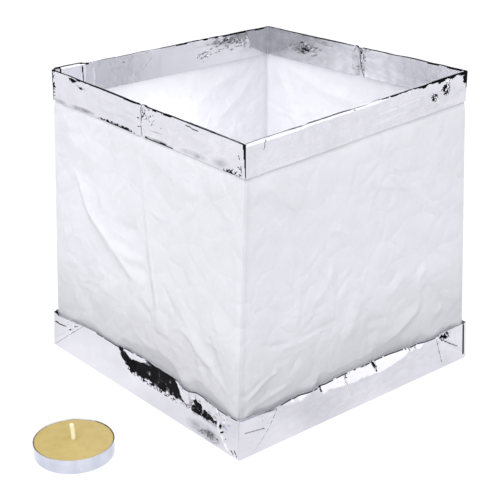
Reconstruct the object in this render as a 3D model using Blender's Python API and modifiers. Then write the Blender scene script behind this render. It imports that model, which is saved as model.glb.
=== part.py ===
"""Square paper lantern with a foil rim, a stapled foil tray and a tealight that stands beside it.

The lantern is a tube of white tissue. Its top edge is held in a folded strip of foil-faced card,
and its bottom edge is taped inside a shallow tray, folded up from one sheet of the same card.
The origin is the middle of the tray's underside, +Z is up, and all sizes are in metres.
"""

import math

import bmesh
import bpy
from mathutils import Matrix, Vector

# Driving dimensions
RIM_SIDE = 0.150            # outside width of the square rim
TOTAL_HEIGHT = 0.158        # floor to the rim's top edge
RIM_HEIGHT = 0.016          # height of the foil strip around the top
TRAY_SIDE = 0.1604          # outside width of the tray at the floor
TRAY_TOP_SIDE = 0.1588      # outside width at the tray's top edge, where the walls lean in
TRAY_HEIGHT = 0.021
TEALIGHT_DIAMETER = 0.039
TEALIGHT_HEIGHT = 0.0078
TEALIGHT_PLACE = Vector((-0.1359, -0.0216, 0.0))

# Sheet stock and clearances
CARD = 0.0004               # foil-faced card
TISSUE = 0.0002
GAP = 0.0003                # between pieces that touch
SIDES = ("front", "right", "back", "left")              # the outward directions -Y, +X, +Y, -X
CORNERS = ("front_left", "front_right", "back_right", "back_left")   # where each side starts

# Tissue tube
SHADE_FOOT_SIDE = 0.1564    # outside width at its bottom edge
SHADE_FOOT = 0.001          # height of its bottom edge
SHADE_TUCK = 0.0004         # from its top edge to the inside of the rim's fold
SEAM_LAP = 0.006            # width of the glued lap at each of its two seams
SEAM_LAP_STOP = 0.002       # the lap ends this far under the rim

# Rim
RIM_GROOVE = TISSUE + 2 * GAP
RIM_THICK = 2 * CARD + RIM_GROOVE
RIM_LAP_LENGTH = 0.0155     # the strip's end, lapped over its start
RIM_FOOT = TOTAL_HEIGHT - RIM_HEIGHT
SHADE_TOP_SIDE = RIM_SIDE - 2 * (CARD + GAP)

# Folded corner ears and their staples
EAR_THICK = 2 * CARD        # the corner of the sheet, folded double
EAR_REACH = 0.025           # along the tray's top edge
EAR_INSET = 0.0004
STAPLE_WIRE = 0.00044
STAPLE_CROWN = 0.012
STAPLE_CLINCH = 0.004       # bent end of each leg
STAPLE_HOLE = STAPLE_WIRE + 2 * GAP
# how far each hand-set staple starts from its corner, its height and its slope, in metres and degrees
STAPLE_SETTINGS = {
    "front_left": (0.0036, 0.0150, -1.5),
    "front_right": (0.0036, 0.0150, 2.0),
    "back_right": (0.0044, 0.0155, 4.0),
    "back_left": (0.0024, 0.0156, 7.0),
}

# Foam tape between the tissue's foot and the tray's walls
TAPE_LENGTH = 0.120
TAPE_WIDTH = 0.007
TAPE_THICK = 0.0007
TAPE_FOOT = 0.002

# Tealight
CUP_WALL = 0.0003
CUP_DRAFT = 0.0002          # the cup's foot is this much smaller in radius than its mouth
CUP_LIP = 0.0003
WAX_BELOW_LIP = 0.0002
SUSTAINER_RADIUS = 0.0060
SUSTAINER_THICK = 0.00025
SUSTAINER_NECK = 0.0030
WICK_RADIUS = 0.0009
WICK_ABOVE_WAX = 0.0082
WICK_LEAN = 0.0007
ROUND_STEPS = 64            # facets around the cup and the wax
SMALL_STEPS = 24            # facets around the sustainer

# name: colour, roughness, metallic
MATERIALS = {
    "tray_foil": ((0.80, 0.81, 0.84), 0.18, 1.0),
    "rim_foil": ((0.82, 0.83, 0.85), 0.14, 1.0),
    "tissue": ((0.90, 0.90, 0.92), 0.85, 0.0),
    "foam_tape": ((0.88, 0.88, 0.86), 0.90, 0.0),
    "steel_wire": ((0.55, 0.56, 0.58), 0.30, 1.0),
    "cup_aluminium": ((0.82, 0.83, 0.86), 0.30, 1.0),
    "wax": ((0.70, 0.56, 0.24), 0.45, 0.0),
    "wick_cotton": ((0.93, 0.86, 0.58), 0.90, 0.0),
    "sustainer_tin": ((0.70, 0.70, 0.72), 0.35, 1.0),
}


def clear_scene():
    for obj in list(bpy.data.objects):
        bpy.data.objects.remove(obj, do_unlink=True)


def make_material(name):
    colour, roughness, metallic = MATERIALS[name]
    material = bpy.data.materials.new(name)
    material.use_nodes = True
    shader = material.node_tree.nodes["Principled BSDF"]
    shader.inputs["Base Color"].default_value = (*colour, 1.0)
    shader.inputs["Roughness"].default_value = roughness
    shader.inputs["Metallic"].default_value = metallic
    return material


def add_object(name, data, material, place=None, parent=None):
    """Links a new object of the part, with its material, at a matrix given in its parent's frame."""
    obj = bpy.data.objects.new(name, data)
    part_collection.objects.link(obj)
    data.materials.append(materials[material])
    obj.parent = parent
    if place is not None:
        obj.matrix_local = place
    return obj


def add_empty(name, location, parent=None):
    """A body's own frame. Its pieces are parented to it, and its joint moves it."""
    empty = bpy.data.objects.new(name, None)
    part_collection.objects.link(empty)
    empty.parent = parent
    empty.location = location
    return empty


def side_turn(side):
    """The turn about Z that carries the front side's frame to a side."""
    return Matrix.Rotation(math.radians(90 * SIDES.index(side)), 4, "Z")


def flat_outline(name, outline, thickness, holes=(), hole_radius=0.0):
    """Curve data for a flat plate, from its outline and the centres of its round holes."""
    curve = bpy.data.curves.new(name, "CURVE")
    curve.dimensions = "2D"
    curve.fill_mode = "BOTH"
    curve.extrude = thickness / 2
    loops = [outline]
    hole_corners = 8
    for centre in holes:
        turns = [2 * math.pi * k / hole_corners for k in range(hole_corners)]
        loops.append([(centre[0] + hole_radius * math.cos(t), centre[1] + hole_radius * math.sin(t))
                      for t in turns])
    for points in loops:
        spline = curve.splines.new("POLY")
        spline.points.add(len(points) - 1)
        for point, (x, y) in zip(spline.points, points):
            point.co = (x, y, 0.0, 1.0)
        spline.use_cyclic_u = True
    return curve


def turned(name, profile, steps, material, place, parent):
    """A solid of revolution about Z. The profile runs down its outer side, then back up inside."""
    mesh = bpy.data.meshes.new(name)
    edges = [(k, (k + 1) % len(profile)) for k in range(len(profile))]
    mesh.from_pydata([(radius, 0.0, height) for radius, height in profile], edges, [])
    obj = add_object(name, mesh, material, place, parent)
    screw = obj.modifiers.new("turn", "SCREW")
    screw.angle = math.radians(360)
    screw.steps = steps
    screw.render_steps = steps
    screw.use_merge_vertices = True
    screw.merge_threshold = 0.00001
    screw.use_smooth_shade = True
    return obj


# ---- tray ----

tray_lean = math.atan2((TRAY_SIDE - TRAY_TOP_SIDE) / 2, TRAY_HEIGHT)


def tray_half(height):
    """Half the tray's outside width at a height."""
    return TRAY_SIDE / 2 - height * math.tan(tray_lean)


def wall_frame(side, outward):
    """Frame on a tray wall: x along the wall, y up its slope from the floor, z out of the lantern.
    Its plane lies outward of the wall's outer face."""
    foot = Matrix.Translation((0.0, -TRAY_SIDE / 2, 0.0))
    stand = Matrix.Rotation(math.radians(90) - tray_lean, 4, "X")
    return side_turn(side) @ foot @ stand @ Matrix.Translation((0.0, 0.0, outward))


def staple_legs(corner):
    """The two points, in a wall's frame, where a corner's staple goes through."""
    start, height, slope = STAPLE_SETTINGS[corner]
    slope = math.radians(slope)
    first = Vector((start - tray_half(height), height / math.cos(tray_lean)))
    return [first, first + STAPLE_CROWN * Vector((math.cos(slope), math.sin(slope)))]


def make_tray_floor():
    half = TRAY_SIDE / 2
    outline = [(-half, -half), (half, -half), (half, half), (-half, half)]
    plate = flat_outline("tray_floor", outline, CARD)
    add_object("tray_floor", plate, "tray_foil", Matrix.Translation((0.0, 0.0, CARD / 2)))


def make_tray_wall(side, corner):
    """A wall panel. It starts flush with the last wall's outer face and stops inside the next wall."""
    low, high = CARD + GAP, TRAY_HEIGHT
    slope = 1 / math.cos(tray_lean)
    inset = CARD + GAP
    outline = [(-tray_half(low), low * slope), (tray_half(low) - inset, low * slope),
               (tray_half(high) - inset, high * slope), (-tray_half(high), high * slope)]
    name = f"tray_wall_{side}"
    plate = flat_outline(name, outline, CARD, staple_legs(corner), STAPLE_HOLE / 2)
    add_object(name, plate, "tray_foil", wall_frame(side, -CARD / 2))


def make_corner_ear(side, corner):
    """The sheet's spare corner, folded into a triangle and turned flat onto the wall."""
    low, high = 2 * GAP, TRAY_HEIGHT - GAP
    slope = 1 / math.cos(tray_lean)
    outline = [(-tray_half(low) + EAR_INSET, low * slope),
               (-tray_half(high) + EAR_REACH, high * slope),
               (-tray_half(high) + EAR_INSET, high * slope)]
    name = f"corner_ear_{corner}"
    plate = flat_outline(name, outline, EAR_THICK, staple_legs(corner), STAPLE_HOLE / 2)
    add_object(name, plate, "tray_foil", wall_frame(side, GAP + EAR_THICK / 2))


def make_staple(side, corner):
    """A wire staple: crown on the ear, legs through ear and wall, ends clinched inside."""
    legs = staple_legs(corner)
    along = (legs[1] - legs[0]).normalized()
    front = 2 * GAP + EAR_THICK + STAPLE_WIRE / 2
    back = -(CARD + GAP + STAPLE_WIRE / 2)
    route = [(legs[0] + along * STAPLE_CLINCH, back), (legs[0], back), (legs[0], front),
             (legs[1], front), (legs[1], back), (legs[1] - along * STAPLE_CLINCH, back)]
    name = f"staple_{corner}"
    curve = bpy.data.curves.new(name, "CURVE")
    curve.dimensions = "3D"
    curve.bevel_depth = STAPLE_WIRE / 2
    curve.bevel_resolution = 2
    curve.use_fill_caps = True
    spline = curve.splines.new("POLY")
    spline.points.add(len(route) - 1)
    for point, (flat, out) in zip(spline.points, route):
        point.co = (flat.x, flat.y, out, 1.0)
    add_object(name, curve, "steel_wire", wall_frame(side, 0.0))


def make_hem_tape(side):
    """Foam tape that holds the tissue's foot to the wall."""
    middle = TAPE_FOOT + TAPE_WIDTH / 2
    wall_face = tray_half(middle) - CARD
    distance = (wall_face + shade_half(middle)) / 2
    half_length, half_width = TAPE_LENGTH / 2, TAPE_WIDTH / 2
    outline = [(-half_length, -half_width), (half_length, -half_width),
               (half_length, half_width), (-half_length, half_width)]
    name = f"hem_tape_{side}"
    plate = flat_outline(name, outline, TAPE_THICK)
    stand = Matrix.Rotation(math.radians(90), 4, "X")
    place = side_turn(side) @ Matrix.Translation((0.0, -distance, middle)) @ stand
    add_object(name, plate, "foam_tape", place)


# ---- tissue tube ----

def shade_half(height):
    """Half the tube's outside width at a height: it tapers up to the rim, and is straight inside it."""
    share = min(max((height - SHADE_FOOT) / (RIM_FOOT - SHADE_FOOT), 0.0), 1.0)
    return (SHADE_FOOT_SIDE + share * (SHADE_TOP_SIDE - SHADE_FOOT_SIDE)) / 2


def make_shade_sheet(name, turn):
    """One of the two sheets. Each makes two walls, and has a lap turned in behind the other sheet.
    The sheet's outer face is laid out for the left and back walls, then turned about Z."""
    rows = [SHADE_FOOT, RIM_FOOT - SEAM_LAP_STOP, RIM_FOOT, TOTAL_HEIGHT - CARD - SHADE_TUCK]
    mesh = bpy.data.meshes.new(name)
    bm = bmesh.new()
    grid = []
    for height in rows:
        half = shade_half(height)
        seam = -half + TISSUE + GAP
        columns = [(-half + SEAM_LAP, seam), (-half, seam), (-half, half), (half, half)]
        grid.append([bm.verts.new((x, y, height)) for x, y in columns])
    for level, (low, high) in enumerate(zip(grid, grid[1:])):
        first = 0 if level == 0 else 1
        for k in range(first, len(low) - 1):
            bm.faces.new((low[k], high[k], high[k + 1], low[k + 1]))
    loose = [v for v in bm.verts if not v.link_faces]
    bmesh.ops.delete(bm, geom=loose, context="VERTS")
    bm.to_mesh(mesh)
    bm.free()
    obj = add_object(name, mesh, "tissue", Matrix.Rotation(math.radians(turn), 4, "Z"))
    thick = obj.modifiers.new("thickness", "SOLIDIFY")
    thick.thickness = TISSUE
    thick.offset = -1.0
    thick.use_even_offset = True
    return obj


# ---- rim ----

def channel_outline(outer, inner, top, foot):
    """Section of a strip folded over an edge: distances from the rim's outer face, and heights."""
    return [(outer, foot), (outer, top), (inner, top), (inner, foot),
            (inner - CARD, foot), (inner - CARD, top - CARD),
            (outer + CARD, top - CARD), (outer + CARD, foot)]


def channel_mesh(name, section, start, end, start_mitred, end_mitred):
    """Runs a section along a side, in the front side's frame. A mitred end is cut back, the more the
    deeper a point lies behind the outer face, so that two sides meet at 45 degrees with a gap."""
    mesh = bpy.data.meshes.new(name)
    bm = bmesh.new()
    profile = [bm.verts.new((start, depth - RIM_SIDE / 2, height)) for depth, height in section]
    face = bm.faces.new(profile)
    swept = bmesh.ops.extrude_face_region(bm, geom=[face])["geom"]
    far_points = [g for g in swept if isinstance(g, bmesh.types.BMVert)]
    bmesh.ops.translate(bm, verts=far_points, vec=(end - start, 0.0, 0.0))
    for vert in bm.verts:
        depth = vert.co.y + RIM_SIDE / 2
        at_end = vert in far_points
        if at_end and end_mitred:
            vert.co.x -= depth + GAP / math.sqrt(2)
        elif not at_end and start_mitred:
            vert.co.x += depth + GAP / math.sqrt(2)
    bmesh.ops.recalc_face_normals(bm, faces=bm.faces)
    bm.to_mesh(mesh)
    bm.free()
    return mesh


def make_rim_side(side, rim):
    """One side of the strip: whole at the front and back, and in two halves at the folding sides."""
    section = channel_outline(0.0, RIM_THICK, RIM_HEIGHT, 0.0)
    half = RIM_SIDE / 2
    if side in ("front", "back"):
        spans = [(f"rim_{side}", -half, half, True, True)]
    else:
        first, second = ("front", "back") if side == "right" else ("back", "front")
        spans = [(f"rim_{side}_{first}_half", -half, -GAP / 2, True, False),
                 (f"rim_{side}_{second}_half", GAP / 2, half, False, True)]
    for name, start, end, start_mitred, end_mitred in spans:
        mesh = channel_mesh(name, section, start, end, start_mitred, end_mitred)
        add_object(name, mesh, "rim_foil", side_turn(side), rim)


def make_rim_lap(rim):
    """The strip's end, glued over its start beside the back left corner."""
    section = channel_outline(-CARD - GAP, RIM_THICK + CARD + GAP, RIM_HEIGHT + CARD + GAP, 0.0)
    end = RIM_SIDE / 2 - RIM_THICK - CARD - 2 * GAP
    mesh = channel_mesh("rim_lap", section, end - RIM_LAP_LENGTH, end, False, False)
    add_object("rim_lap", mesh, "rim_foil", side_turn("back"), rim)


# ---- tealight ----

def make_cup(tealight):
    mouth = TEALIGHT_DIAMETER / 2
    foot = mouth - CUP_DRAFT
    profile = [(mouth, TEALIGHT_HEIGHT), (mouth, TEALIGHT_HEIGHT - CUP_LIP),
               (mouth - CUP_LIP, TEALIGHT_HEIGHT - 2 * CUP_LIP),
               (foot - CUP_LIP / 2, CUP_LIP), (foot - 2 * CUP_LIP, 0.0), (0.0, 0.0),
               (0.0, CUP_WALL), (foot - 2 * CUP_LIP - CUP_WALL / 2, CUP_WALL),
               (foot - CUP_LIP / 2 - CUP_WALL, CUP_LIP + CUP_WALL / 2),
               (mouth - CUP_LIP - CUP_WALL, TEALIGHT_HEIGHT - 2 * CUP_LIP),
               (mouth - CUP_LIP - CUP_WALL, TEALIGHT_HEIGHT - CUP_LIP / 2),
               (mouth - CUP_LIP, TEALIGHT_HEIGHT)]
    return turned("tealight_cup", profile, ROUND_STEPS, "cup_aluminium", None, tealight)


def make_wax(candle):
    """The wax, cast round the sustainer: a recess under it takes the disc and the neck."""
    top = TEALIGHT_HEIGHT - WAX_BELOW_LIP
    radius = TEALIGHT_DIAMETER / 2 - CUP_LIP - CUP_WALL - GAP
    foot_radius = TEALIGHT_DIAMETER / 2 - CUP_DRAFT - CUP_LIP - CUP_WALL - 2 * GAP
    foot = CUP_WALL + GAP
    disc_top = foot + SUSTAINER_THICK + GAP
    neck_top = foot + SUSTAINER_NECK + GAP
    neck = WICK_RADIUS + 2 * GAP + CUP_WALL
    bore = WICK_RADIUS + GAP
    profile = [(bore, top), (radius - 3 * CUP_LIP, top), (radius, top - CUP_LIP / 2),
               (foot_radius, foot + CUP_LIP), (foot_radius - CUP_LIP, foot),
               (SUSTAINER_RADIUS + GAP, foot), (SUSTAINER_RADIUS + GAP, disc_top),
               (neck + GAP, disc_top), (neck + GAP, neck_top), (bore, neck_top)]
    return turned("tealight_wax", profile, ROUND_STEPS, "wax", None, candle)


def make_sustainer(candle):
    """The tin disc under the wax, with a neck round the wick."""
    foot = CUP_WALL + GAP
    inner = WICK_RADIUS + GAP
    outer = inner + CUP_WALL
    profile = [(inner, foot + SUSTAINER_NECK), (outer, foot + SUSTAINER_NECK),
               (outer, foot + SUSTAINER_THICK), (SUSTAINER_RADIUS, foot + SUSTAINER_THICK),
               (SUSTAINER_RADIUS, foot), (inner, foot)]
    return turned("wick_sustainer", profile, SMALL_STEPS, "sustainer_tin", None, candle)


def make_wick(candle):
    """A cotton wick, straight up through the wax and leaning a little above it."""
    wax_top = TEALIGHT_HEIGHT - WAX_BELOW_LIP
    heights = [2 * CUP_WALL, wax_top, wax_top + WICK_ABOVE_WAX / 2, wax_top + WICK_ABOVE_WAX]
    leans = [0.0, 0.0, WICK_LEAN / 3, WICK_LEAN]
    curve = bpy.data.curves.new("wick", "CURVE")
    curve.dimensions = "3D"
    curve.bevel_depth = WICK_RADIUS
    curve.bevel_resolution = 3
    curve.use_fill_caps = True
    spline = curve.splines.new("POLY")
    spline.points.add(len(heights) - 1)
    for point, height, lean in zip(spline.points, heights, leans):
        point.co = (-lean, lean / 2, height, 1.0)
    add_object("wick", curve, "wick_cotton", None, candle)


def build():
    make_tray_floor()
    for side, corner in zip(SIDES, CORNERS):
        make_tray_wall(side, corner)
        make_corner_ear(side, corner)
        make_staple(side, corner)
        make_hem_tape(side)
    make_shade_sheet("shade_sheet_left", 0)
    make_shade_sheet("shade_sheet_right", 180)

    rim = add_empty("rim_frame", (0.0, 0.0, RIM_FOOT))
    for side in SIDES:
        make_rim_side(side, rim)
    make_rim_lap(rim)

    tealight = add_empty("tealight_frame", TEALIGHT_PLACE)
    candle = add_empty("candle_frame", (0.0, 0.0, 0.0), tealight)
    make_cup(tealight)
    make_wax(candle)
    make_sustainer(candle)
    make_wick(candle)


clear_scene()
part_collection = bpy.data.collections.new("paper_lantern")
bpy.context.scene.collection.children.link(part_collection)
materials = {name: make_material(name) for name in MATERIALS}
build()
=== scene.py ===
"""Looks of the square tissue lantern: crumpled foil tray and rim, wrinkled tissue, staples and tealight.

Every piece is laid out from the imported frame, in metres. A place on a wall is given by "along", from
the wall's middle towards the corner where it ends, and by its height. "Out" is away from the lantern.
"""

import math

import bpy
import numpy as np
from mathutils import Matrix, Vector


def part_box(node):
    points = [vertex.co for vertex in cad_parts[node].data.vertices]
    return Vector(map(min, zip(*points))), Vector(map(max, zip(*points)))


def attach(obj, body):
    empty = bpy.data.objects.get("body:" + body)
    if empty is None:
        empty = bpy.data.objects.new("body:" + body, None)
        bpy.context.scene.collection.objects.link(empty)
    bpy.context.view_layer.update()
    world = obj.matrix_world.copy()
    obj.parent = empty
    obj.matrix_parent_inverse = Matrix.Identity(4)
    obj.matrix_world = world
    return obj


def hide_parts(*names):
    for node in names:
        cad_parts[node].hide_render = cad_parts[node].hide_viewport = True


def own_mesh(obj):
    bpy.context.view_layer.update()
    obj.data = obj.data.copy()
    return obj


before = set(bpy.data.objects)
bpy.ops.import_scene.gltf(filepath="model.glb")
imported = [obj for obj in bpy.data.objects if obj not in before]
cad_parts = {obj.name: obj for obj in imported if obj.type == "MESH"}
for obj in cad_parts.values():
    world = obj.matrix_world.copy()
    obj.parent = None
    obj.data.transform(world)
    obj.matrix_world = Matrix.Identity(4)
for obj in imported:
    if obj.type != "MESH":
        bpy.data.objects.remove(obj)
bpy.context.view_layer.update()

SIDES = ("front", "right", "back", "left")              # they face -Y, +X, +Y and -X
CORNERS = ("front_left", "front_right", "back_right", "back_left")   # where each side starts
CORNER_SIGNS = ((-1, -1), (1, -1), (1, 1), (-1, 1))

# Sizes, read from the frame
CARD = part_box("tray_floor")[1].z
TRAY_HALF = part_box("tray_floor")[1].x
TRAY_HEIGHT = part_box("tray_wall_front")[1].z
TRAY_TOP_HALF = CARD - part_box("tray_wall_front")[1].y
RIM_HALF = -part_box("rim_front")[0].y
RIM_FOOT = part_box("rim_front")[0].z
RIM_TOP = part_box("rim_front")[1].z
RIM_THICK = RIM_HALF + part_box("rim_front")[1].y
LAP_LOW, LAP_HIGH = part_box("rim_lap")
SHADE_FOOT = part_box("shade_sheet_left")[0].z
SHADE_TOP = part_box("shade_sheet_left")[1].z
SHADE_FOOT_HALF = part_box("shade_sheet_left")[1].y
EAR_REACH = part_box("corner_ear_front_left")[1].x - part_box("corner_ear_front_left")[0].x
TAPE_LOW, TAPE_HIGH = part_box("hem_tape_front")
CUP_LOW, CUP_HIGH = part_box("tealight_cup")
WAX_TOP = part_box("tealight_wax")[1].z
WAX_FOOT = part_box("tealight_wax")[0].z
WICK_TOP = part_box("wick")[1].z

TISSUE = 0.0002             # thickness of the paper
GAP = 0.0003                # between pieces that touch
SEAM_LAP = 0.002
SHADE_TOP_HALF = RIM_HALF - CARD - GAP
STAPLE_WIRE = 0.00044
STAPLE_CROWN = 0.012
STAPLE_LEG = 0.004          # clinched inside the tray
# how far each staple starts from its corner, its height, and its slope in degrees
STAPLES = {
    "front_left": (0.0026, 0.0142, -8.0),
    "front_right": (0.0036, 0.015, 2.0),
    "back_right": (0.0044, 0.0155, 4.0),
    "back_left": (0.0024, 0.0156, 7.0),
}

# How far each corner of this hand-made lantern stands from its true place, at the rim and at the tray
RIM_SHIFTS = ((0.0008, -0.0012, -0.0023), (0.0002, 0.0004, 0.0034),
              (-0.0003, 0.0, -0.0013), (0.0002, -0.0001, 0.0002))
TRAY_SHIFTS = ((-0.0011, 0.0009, 0.0), (0.0009, -0.0008, 0.0), (0.0, 0.0, 0.0), (0.0003, 0.0, 0.0))

# Mesh density: the distance between a sheet's points, and how many points go round a bend
FOIL_STEP = 0.0005
TISSUE_STEP = 0.00104
CORNER_STEPS = 6
FOLD_ROWS = 7
FLOOR_STEPS = 160
RING_STEPS = 128

CAMERA_AZIMUTH = -41.23
CAMERA_ELEVATION = 23.26
CAMERA_DISTANCE = 0.7058
CAMERA_TARGET = Vector((-0.005, 0.0, 0.062))
CAMERA_LENS = 95.4
KEY_DIRECTION = (0.66, 0.38, -1.0)
KEY_POWER = 1.2
KEY_SPREAD = 40             # in degrees
GLOW_PLACE = (-0.01, 0.034, 0.095)
GLOW_POWER = 0.1
GLOW_RADIUS = 0.03


# ---- shapes over a wall ----

def smooth(x):
    x = np.clip(x, 0.0, 1.0)
    return x * x * (3.0 - 2.0 * x)


def between(x, start, end, soft):
    """1 between start and end, and 0 outside, with an ease of that length inside each end."""
    return smooth((x - start) / soft) * smooth((end - x) / soft)


def wander(x, y, seed):
    """Smooth noise from -1 to 1 that changes over about one unit of x and y."""
    size = 64
    values = np.random.default_rng(seed).uniform(-1.0, 1.0, (size, size))
    column, row = np.floor(x).astype(int), np.floor(y).astype(int)
    across, up = smooth(x - column), smooth(y - row)

    def value(i, j):
        return values[(column + i) % size, (row + j) % size]

    low = value(0, 0) * (1 - across) + value(1, 0) * across
    high = value(0, 1) * (1 - across) + value(1, 1) * across
    return low * (1 - up) + high * up


def ellipse(along, height, centre, reach):
    """1 at the centre of an ellipse, 0 at its edge and less beyond it."""
    return 1.0 - ((along - centre[0]) / reach[0]) ** 2 - ((height - centre[1]) / reach[1]) ** 2


def off_route(along, height, route):
    """How far each place lies from a route over the wall, and its share of the way along it."""
    near = np.full(along.shape, np.inf)
    share = np.zeros(along.shape)
    for k, (start, end) in enumerate(zip(route, route[1:])):
        run, rise = end[0] - start[0], end[1] - start[1]
        part = ((along - start[0]) * run + (height - start[1]) * rise) / (run * run + rise * rise)
        part = np.clip(part, 0.0, 1.0)
        away = np.hypot(along - start[0] - part * run, height - start[1] - part * rise)
        share = np.where(away < near, (k + part) / (len(route) - 1), share)
        near = np.minimum(away, near)
    return near, share


def crease(along, height, route, width, rise, sharp=0.0003, fade=0.25):
    """A fold that stands out along a route by rise, or sinks in where rise is negative."""
    near, share = off_route(along, height, route)
    flank = np.clip(1.0 - np.hypot(near, sharp) / width, 0.0, None)
    ends = smooth(share / fade) * smooth((1.0 - share) / fade)
    return rise * flank ** 1.5 * ends


def crumple(along, height, centre, reach, rise, grain, seed, stretch=1.0):
    """Sharp random crinkles of that grain, within an ellipse of that reach about a centre."""
    window = ellipse(along, height, centre, reach)
    tilted = (along / stretch + 0.6 * height) / grain
    folds = 1.0 - 2.0 * np.abs(wander(tilted, (height - 0.4 * along / stretch) / grain, seed))
    folds += 0.5 * (1.0 - 2.0 * np.abs(wander(2.3 * tilted, 2.1 * height / grain, seed + 1)))
    ragged = 0.35 * wander(along / 0.0025 + 50, height / 0.0025, seed + 2)
    return rise * folds * smooth((window + ragged) * 1.5)


def facets(along, height, count, seed, spacings, slope):
    """Crumpled paper pressed flat again: straight creases that cross, with flat facets between."""
    rng = np.random.default_rng(seed)
    total = np.zeros(along.shape)
    for k in range(count):
        turn = rng.uniform(0.0, math.pi)
        spacing = rng.uniform(*spacings)
        across = (along * math.cos(turn) + height * math.sin(turn)) / spacing + rng.uniform()
        zigzag = np.abs(across - np.round(across)) * spacing
        shown = smooth(0.5 + 1.2 * wander(along / 0.025 + 10 * k, height / 0.025 + 7 * k, seed + k))
        total += slope * zigzag * shown
    return total


def random_creases(along, height, count, seed, box, lengths, widths, rises):
    """Scattered straight folds in a box of the wall, given as (low along, high along, low, high)."""
    rng = np.random.default_rng(seed)
    total = np.zeros(along.shape)
    for _ in range(count):
        start = np.array([rng.uniform(box[0], box[1]), rng.uniform(box[2], box[3])])
        turn = rng.uniform(0.0, math.pi)
        end = start + rng.uniform(*lengths) * np.array([math.cos(turn), math.sin(turn)])
        rise = rng.choice((-1.0, 1.0)) * rng.uniform(*rises)
        total += crease(along, height, [start, end], rng.uniform(*widths), rise)
    return total


# ---- from walls to meshes ----

def square_path(turn, half, radius):
    """Along and out distances of a square's side with round corners. Turn runs from -1 to 1,
    from the middle of one corner to the middle of the next; the last result is the facing angle."""
    straight = half - radius
    reach = straight + radius * math.pi / 4
    distance = turn * reach
    angle = np.sign(distance) * np.clip(np.abs(distance) - straight, 0.0, None) / radius
    along = np.clip(distance, -straight, straight) + radius * np.sin(angle)
    return along, straight + radius * np.cos(angle), angle


def turns_along(start, end, half, radius, step):
    """Values of turn for a mesh's columns: even steps on the flat, and finer ones round a corner."""
    straight = (half - radius) / (half - radius + radius * math.pi / 4)
    low, high = max(start, -straight), min(end, straight)
    count = max(2, round((high - low) * half / step))
    parts = [np.linspace(low, high, count)]
    if start < -straight:
        parts.insert(0, np.linspace(start, -straight, CORNER_STEPS, endpoint=False))
    if end > straight:
        parts.append(np.linspace(straight, end, CORNER_STEPS + 1)[1:])
    return np.concatenate(parts)


def to_world(side, along, out, height):
    """Points in the row frame from a side's own distances."""
    quarter = SIDES.index(side) * math.pi / 2
    east, north = math.cos(quarter), math.sin(quarter)
    return np.stack([along * east + out * north, along * north - out * east,
                     height + 0 * along], axis=-1)


def settle(points):
    """Moves points by the small amounts that the lantern is out of square."""
    east = np.clip(points[..., 0] / RIM_HALF, -1.0, 1.0)
    north = np.clip(points[..., 1] / RIM_HALF, -1.0, 1.0)
    level = np.clip((points[..., 2] - TRAY_HEIGHT) / (RIM_FOOT - TRAY_HEIGHT), 0.0, 1.0)[..., None]
    moved = points.copy()
    for (sign_x, sign_y), at_rim, at_tray in zip(CORNER_SIGNS, RIM_SHIFTS, TRAY_SHIFTS):
        weight = ((1 + sign_x * east) * (1 + sign_y * north) / 4)[..., None]
        moved += weight * (level * np.array(at_rim) + (1 - level) * np.array(at_tray))
    return moved


def make_object(name, points, faces, material, smooth_angle=50):
    mesh = bpy.data.meshes.new(name)
    mesh.from_pydata(points.tolist(), [], faces)
    mesh.materials.append(material)
    mesh.shade_smooth()
    mesh.set_sharp_from_angle(angle=math.radians(smooth_angle))
    mesh.update()
    obj = bpy.data.objects.new(name, mesh)
    bpy.context.scene.collection.objects.link(obj)
    return obj


def shell_faces(rows, columns):
    """Faces of a closed shell between an outer and an inner grid of points."""
    outer = np.arange(rows * columns).reshape(rows, columns)
    inner = outer + rows * columns

    def strip(a, b):
        return np.stack([a[:-1], a[1:], b[1:], b[:-1]], axis=-1).reshape(-1, 4)

    def skin(grid):
        return np.stack([grid[:-1, :-1], grid[:-1, 1:], grid[1:, 1:], grid[1:, :-1]],
                        axis=-1).reshape(-1, 4)

    return np.concatenate([
        skin(outer), skin(inner)[:, ::-1], strip(inner[0], outer[0]), strip(outer[-1], inner[-1]),
        strip(outer[:, 0], inner[:, 0]), strip(inner[:, -1], outer[:, -1])]).tolist()


def make_shell(name, outer, inner, material, smooth_angle=50):
    """A thin closed piece from two grids of points, outer and inner, rows by columns."""
    rows, columns = outer.shape[:2]
    points = np.concatenate([outer.reshape(-1, 3), inner.reshape(-1, 3)])
    return make_object(name, points, shell_faces(rows, columns), material, smooth_angle)


def near_routes(along, height, routes):
    """True near any of the routes over a wall, each given with its width."""
    near = np.zeros(along.shape, bool)
    for route, width in routes:
        near |= off_route(along, height, route)[0] < width / 2
    return near


def specked(along, height, spots, seed):
    """True in ragged specks: each spot a centre, a reach and how densely it is specked."""
    near = np.zeros(along.shape, bool)
    grain = np.abs(wander(along / 0.0011 + 50, height / 0.0011 + 20, seed))
    for centre, reach, share in spots:
        window = ellipse(along, height, centre, reach)
        near |= grain < share * np.clip(1.6 * window, 0.0, 1.0)
    return near


def along_edge(along, distance, stretches, seed):
    """True in dashes along an edge: each stretch a start, an end, a depth and the share that is marked.
    """
    near = np.zeros(along.shape, bool)
    dash = 0.5 + 0.5 * wander(along / 0.0014 + 50, 0 * along, seed)
    ragged = 0.75 + 0.5 * wander(along / 0.0035 + 30, 0 * along, seed + 1)
    for start, end, depth, share in stretches:
        within = (along > start) & (along < end)
        near |= within & (distance < depth * ragged) & (dash < share)
    return near


def change_skin(piece, cells, material):
    """Gives a shell's outer cells another material where a grid of rows by columns is true."""
    if material.name not in piece.data.materials:
        piece.data.materials.append(material)
    index = piece.data.materials.find(material.name)
    for cell in np.nonzero(cells.ravel())[0]:
        piece.data.polygons[int(cell)].material_index = index


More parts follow.
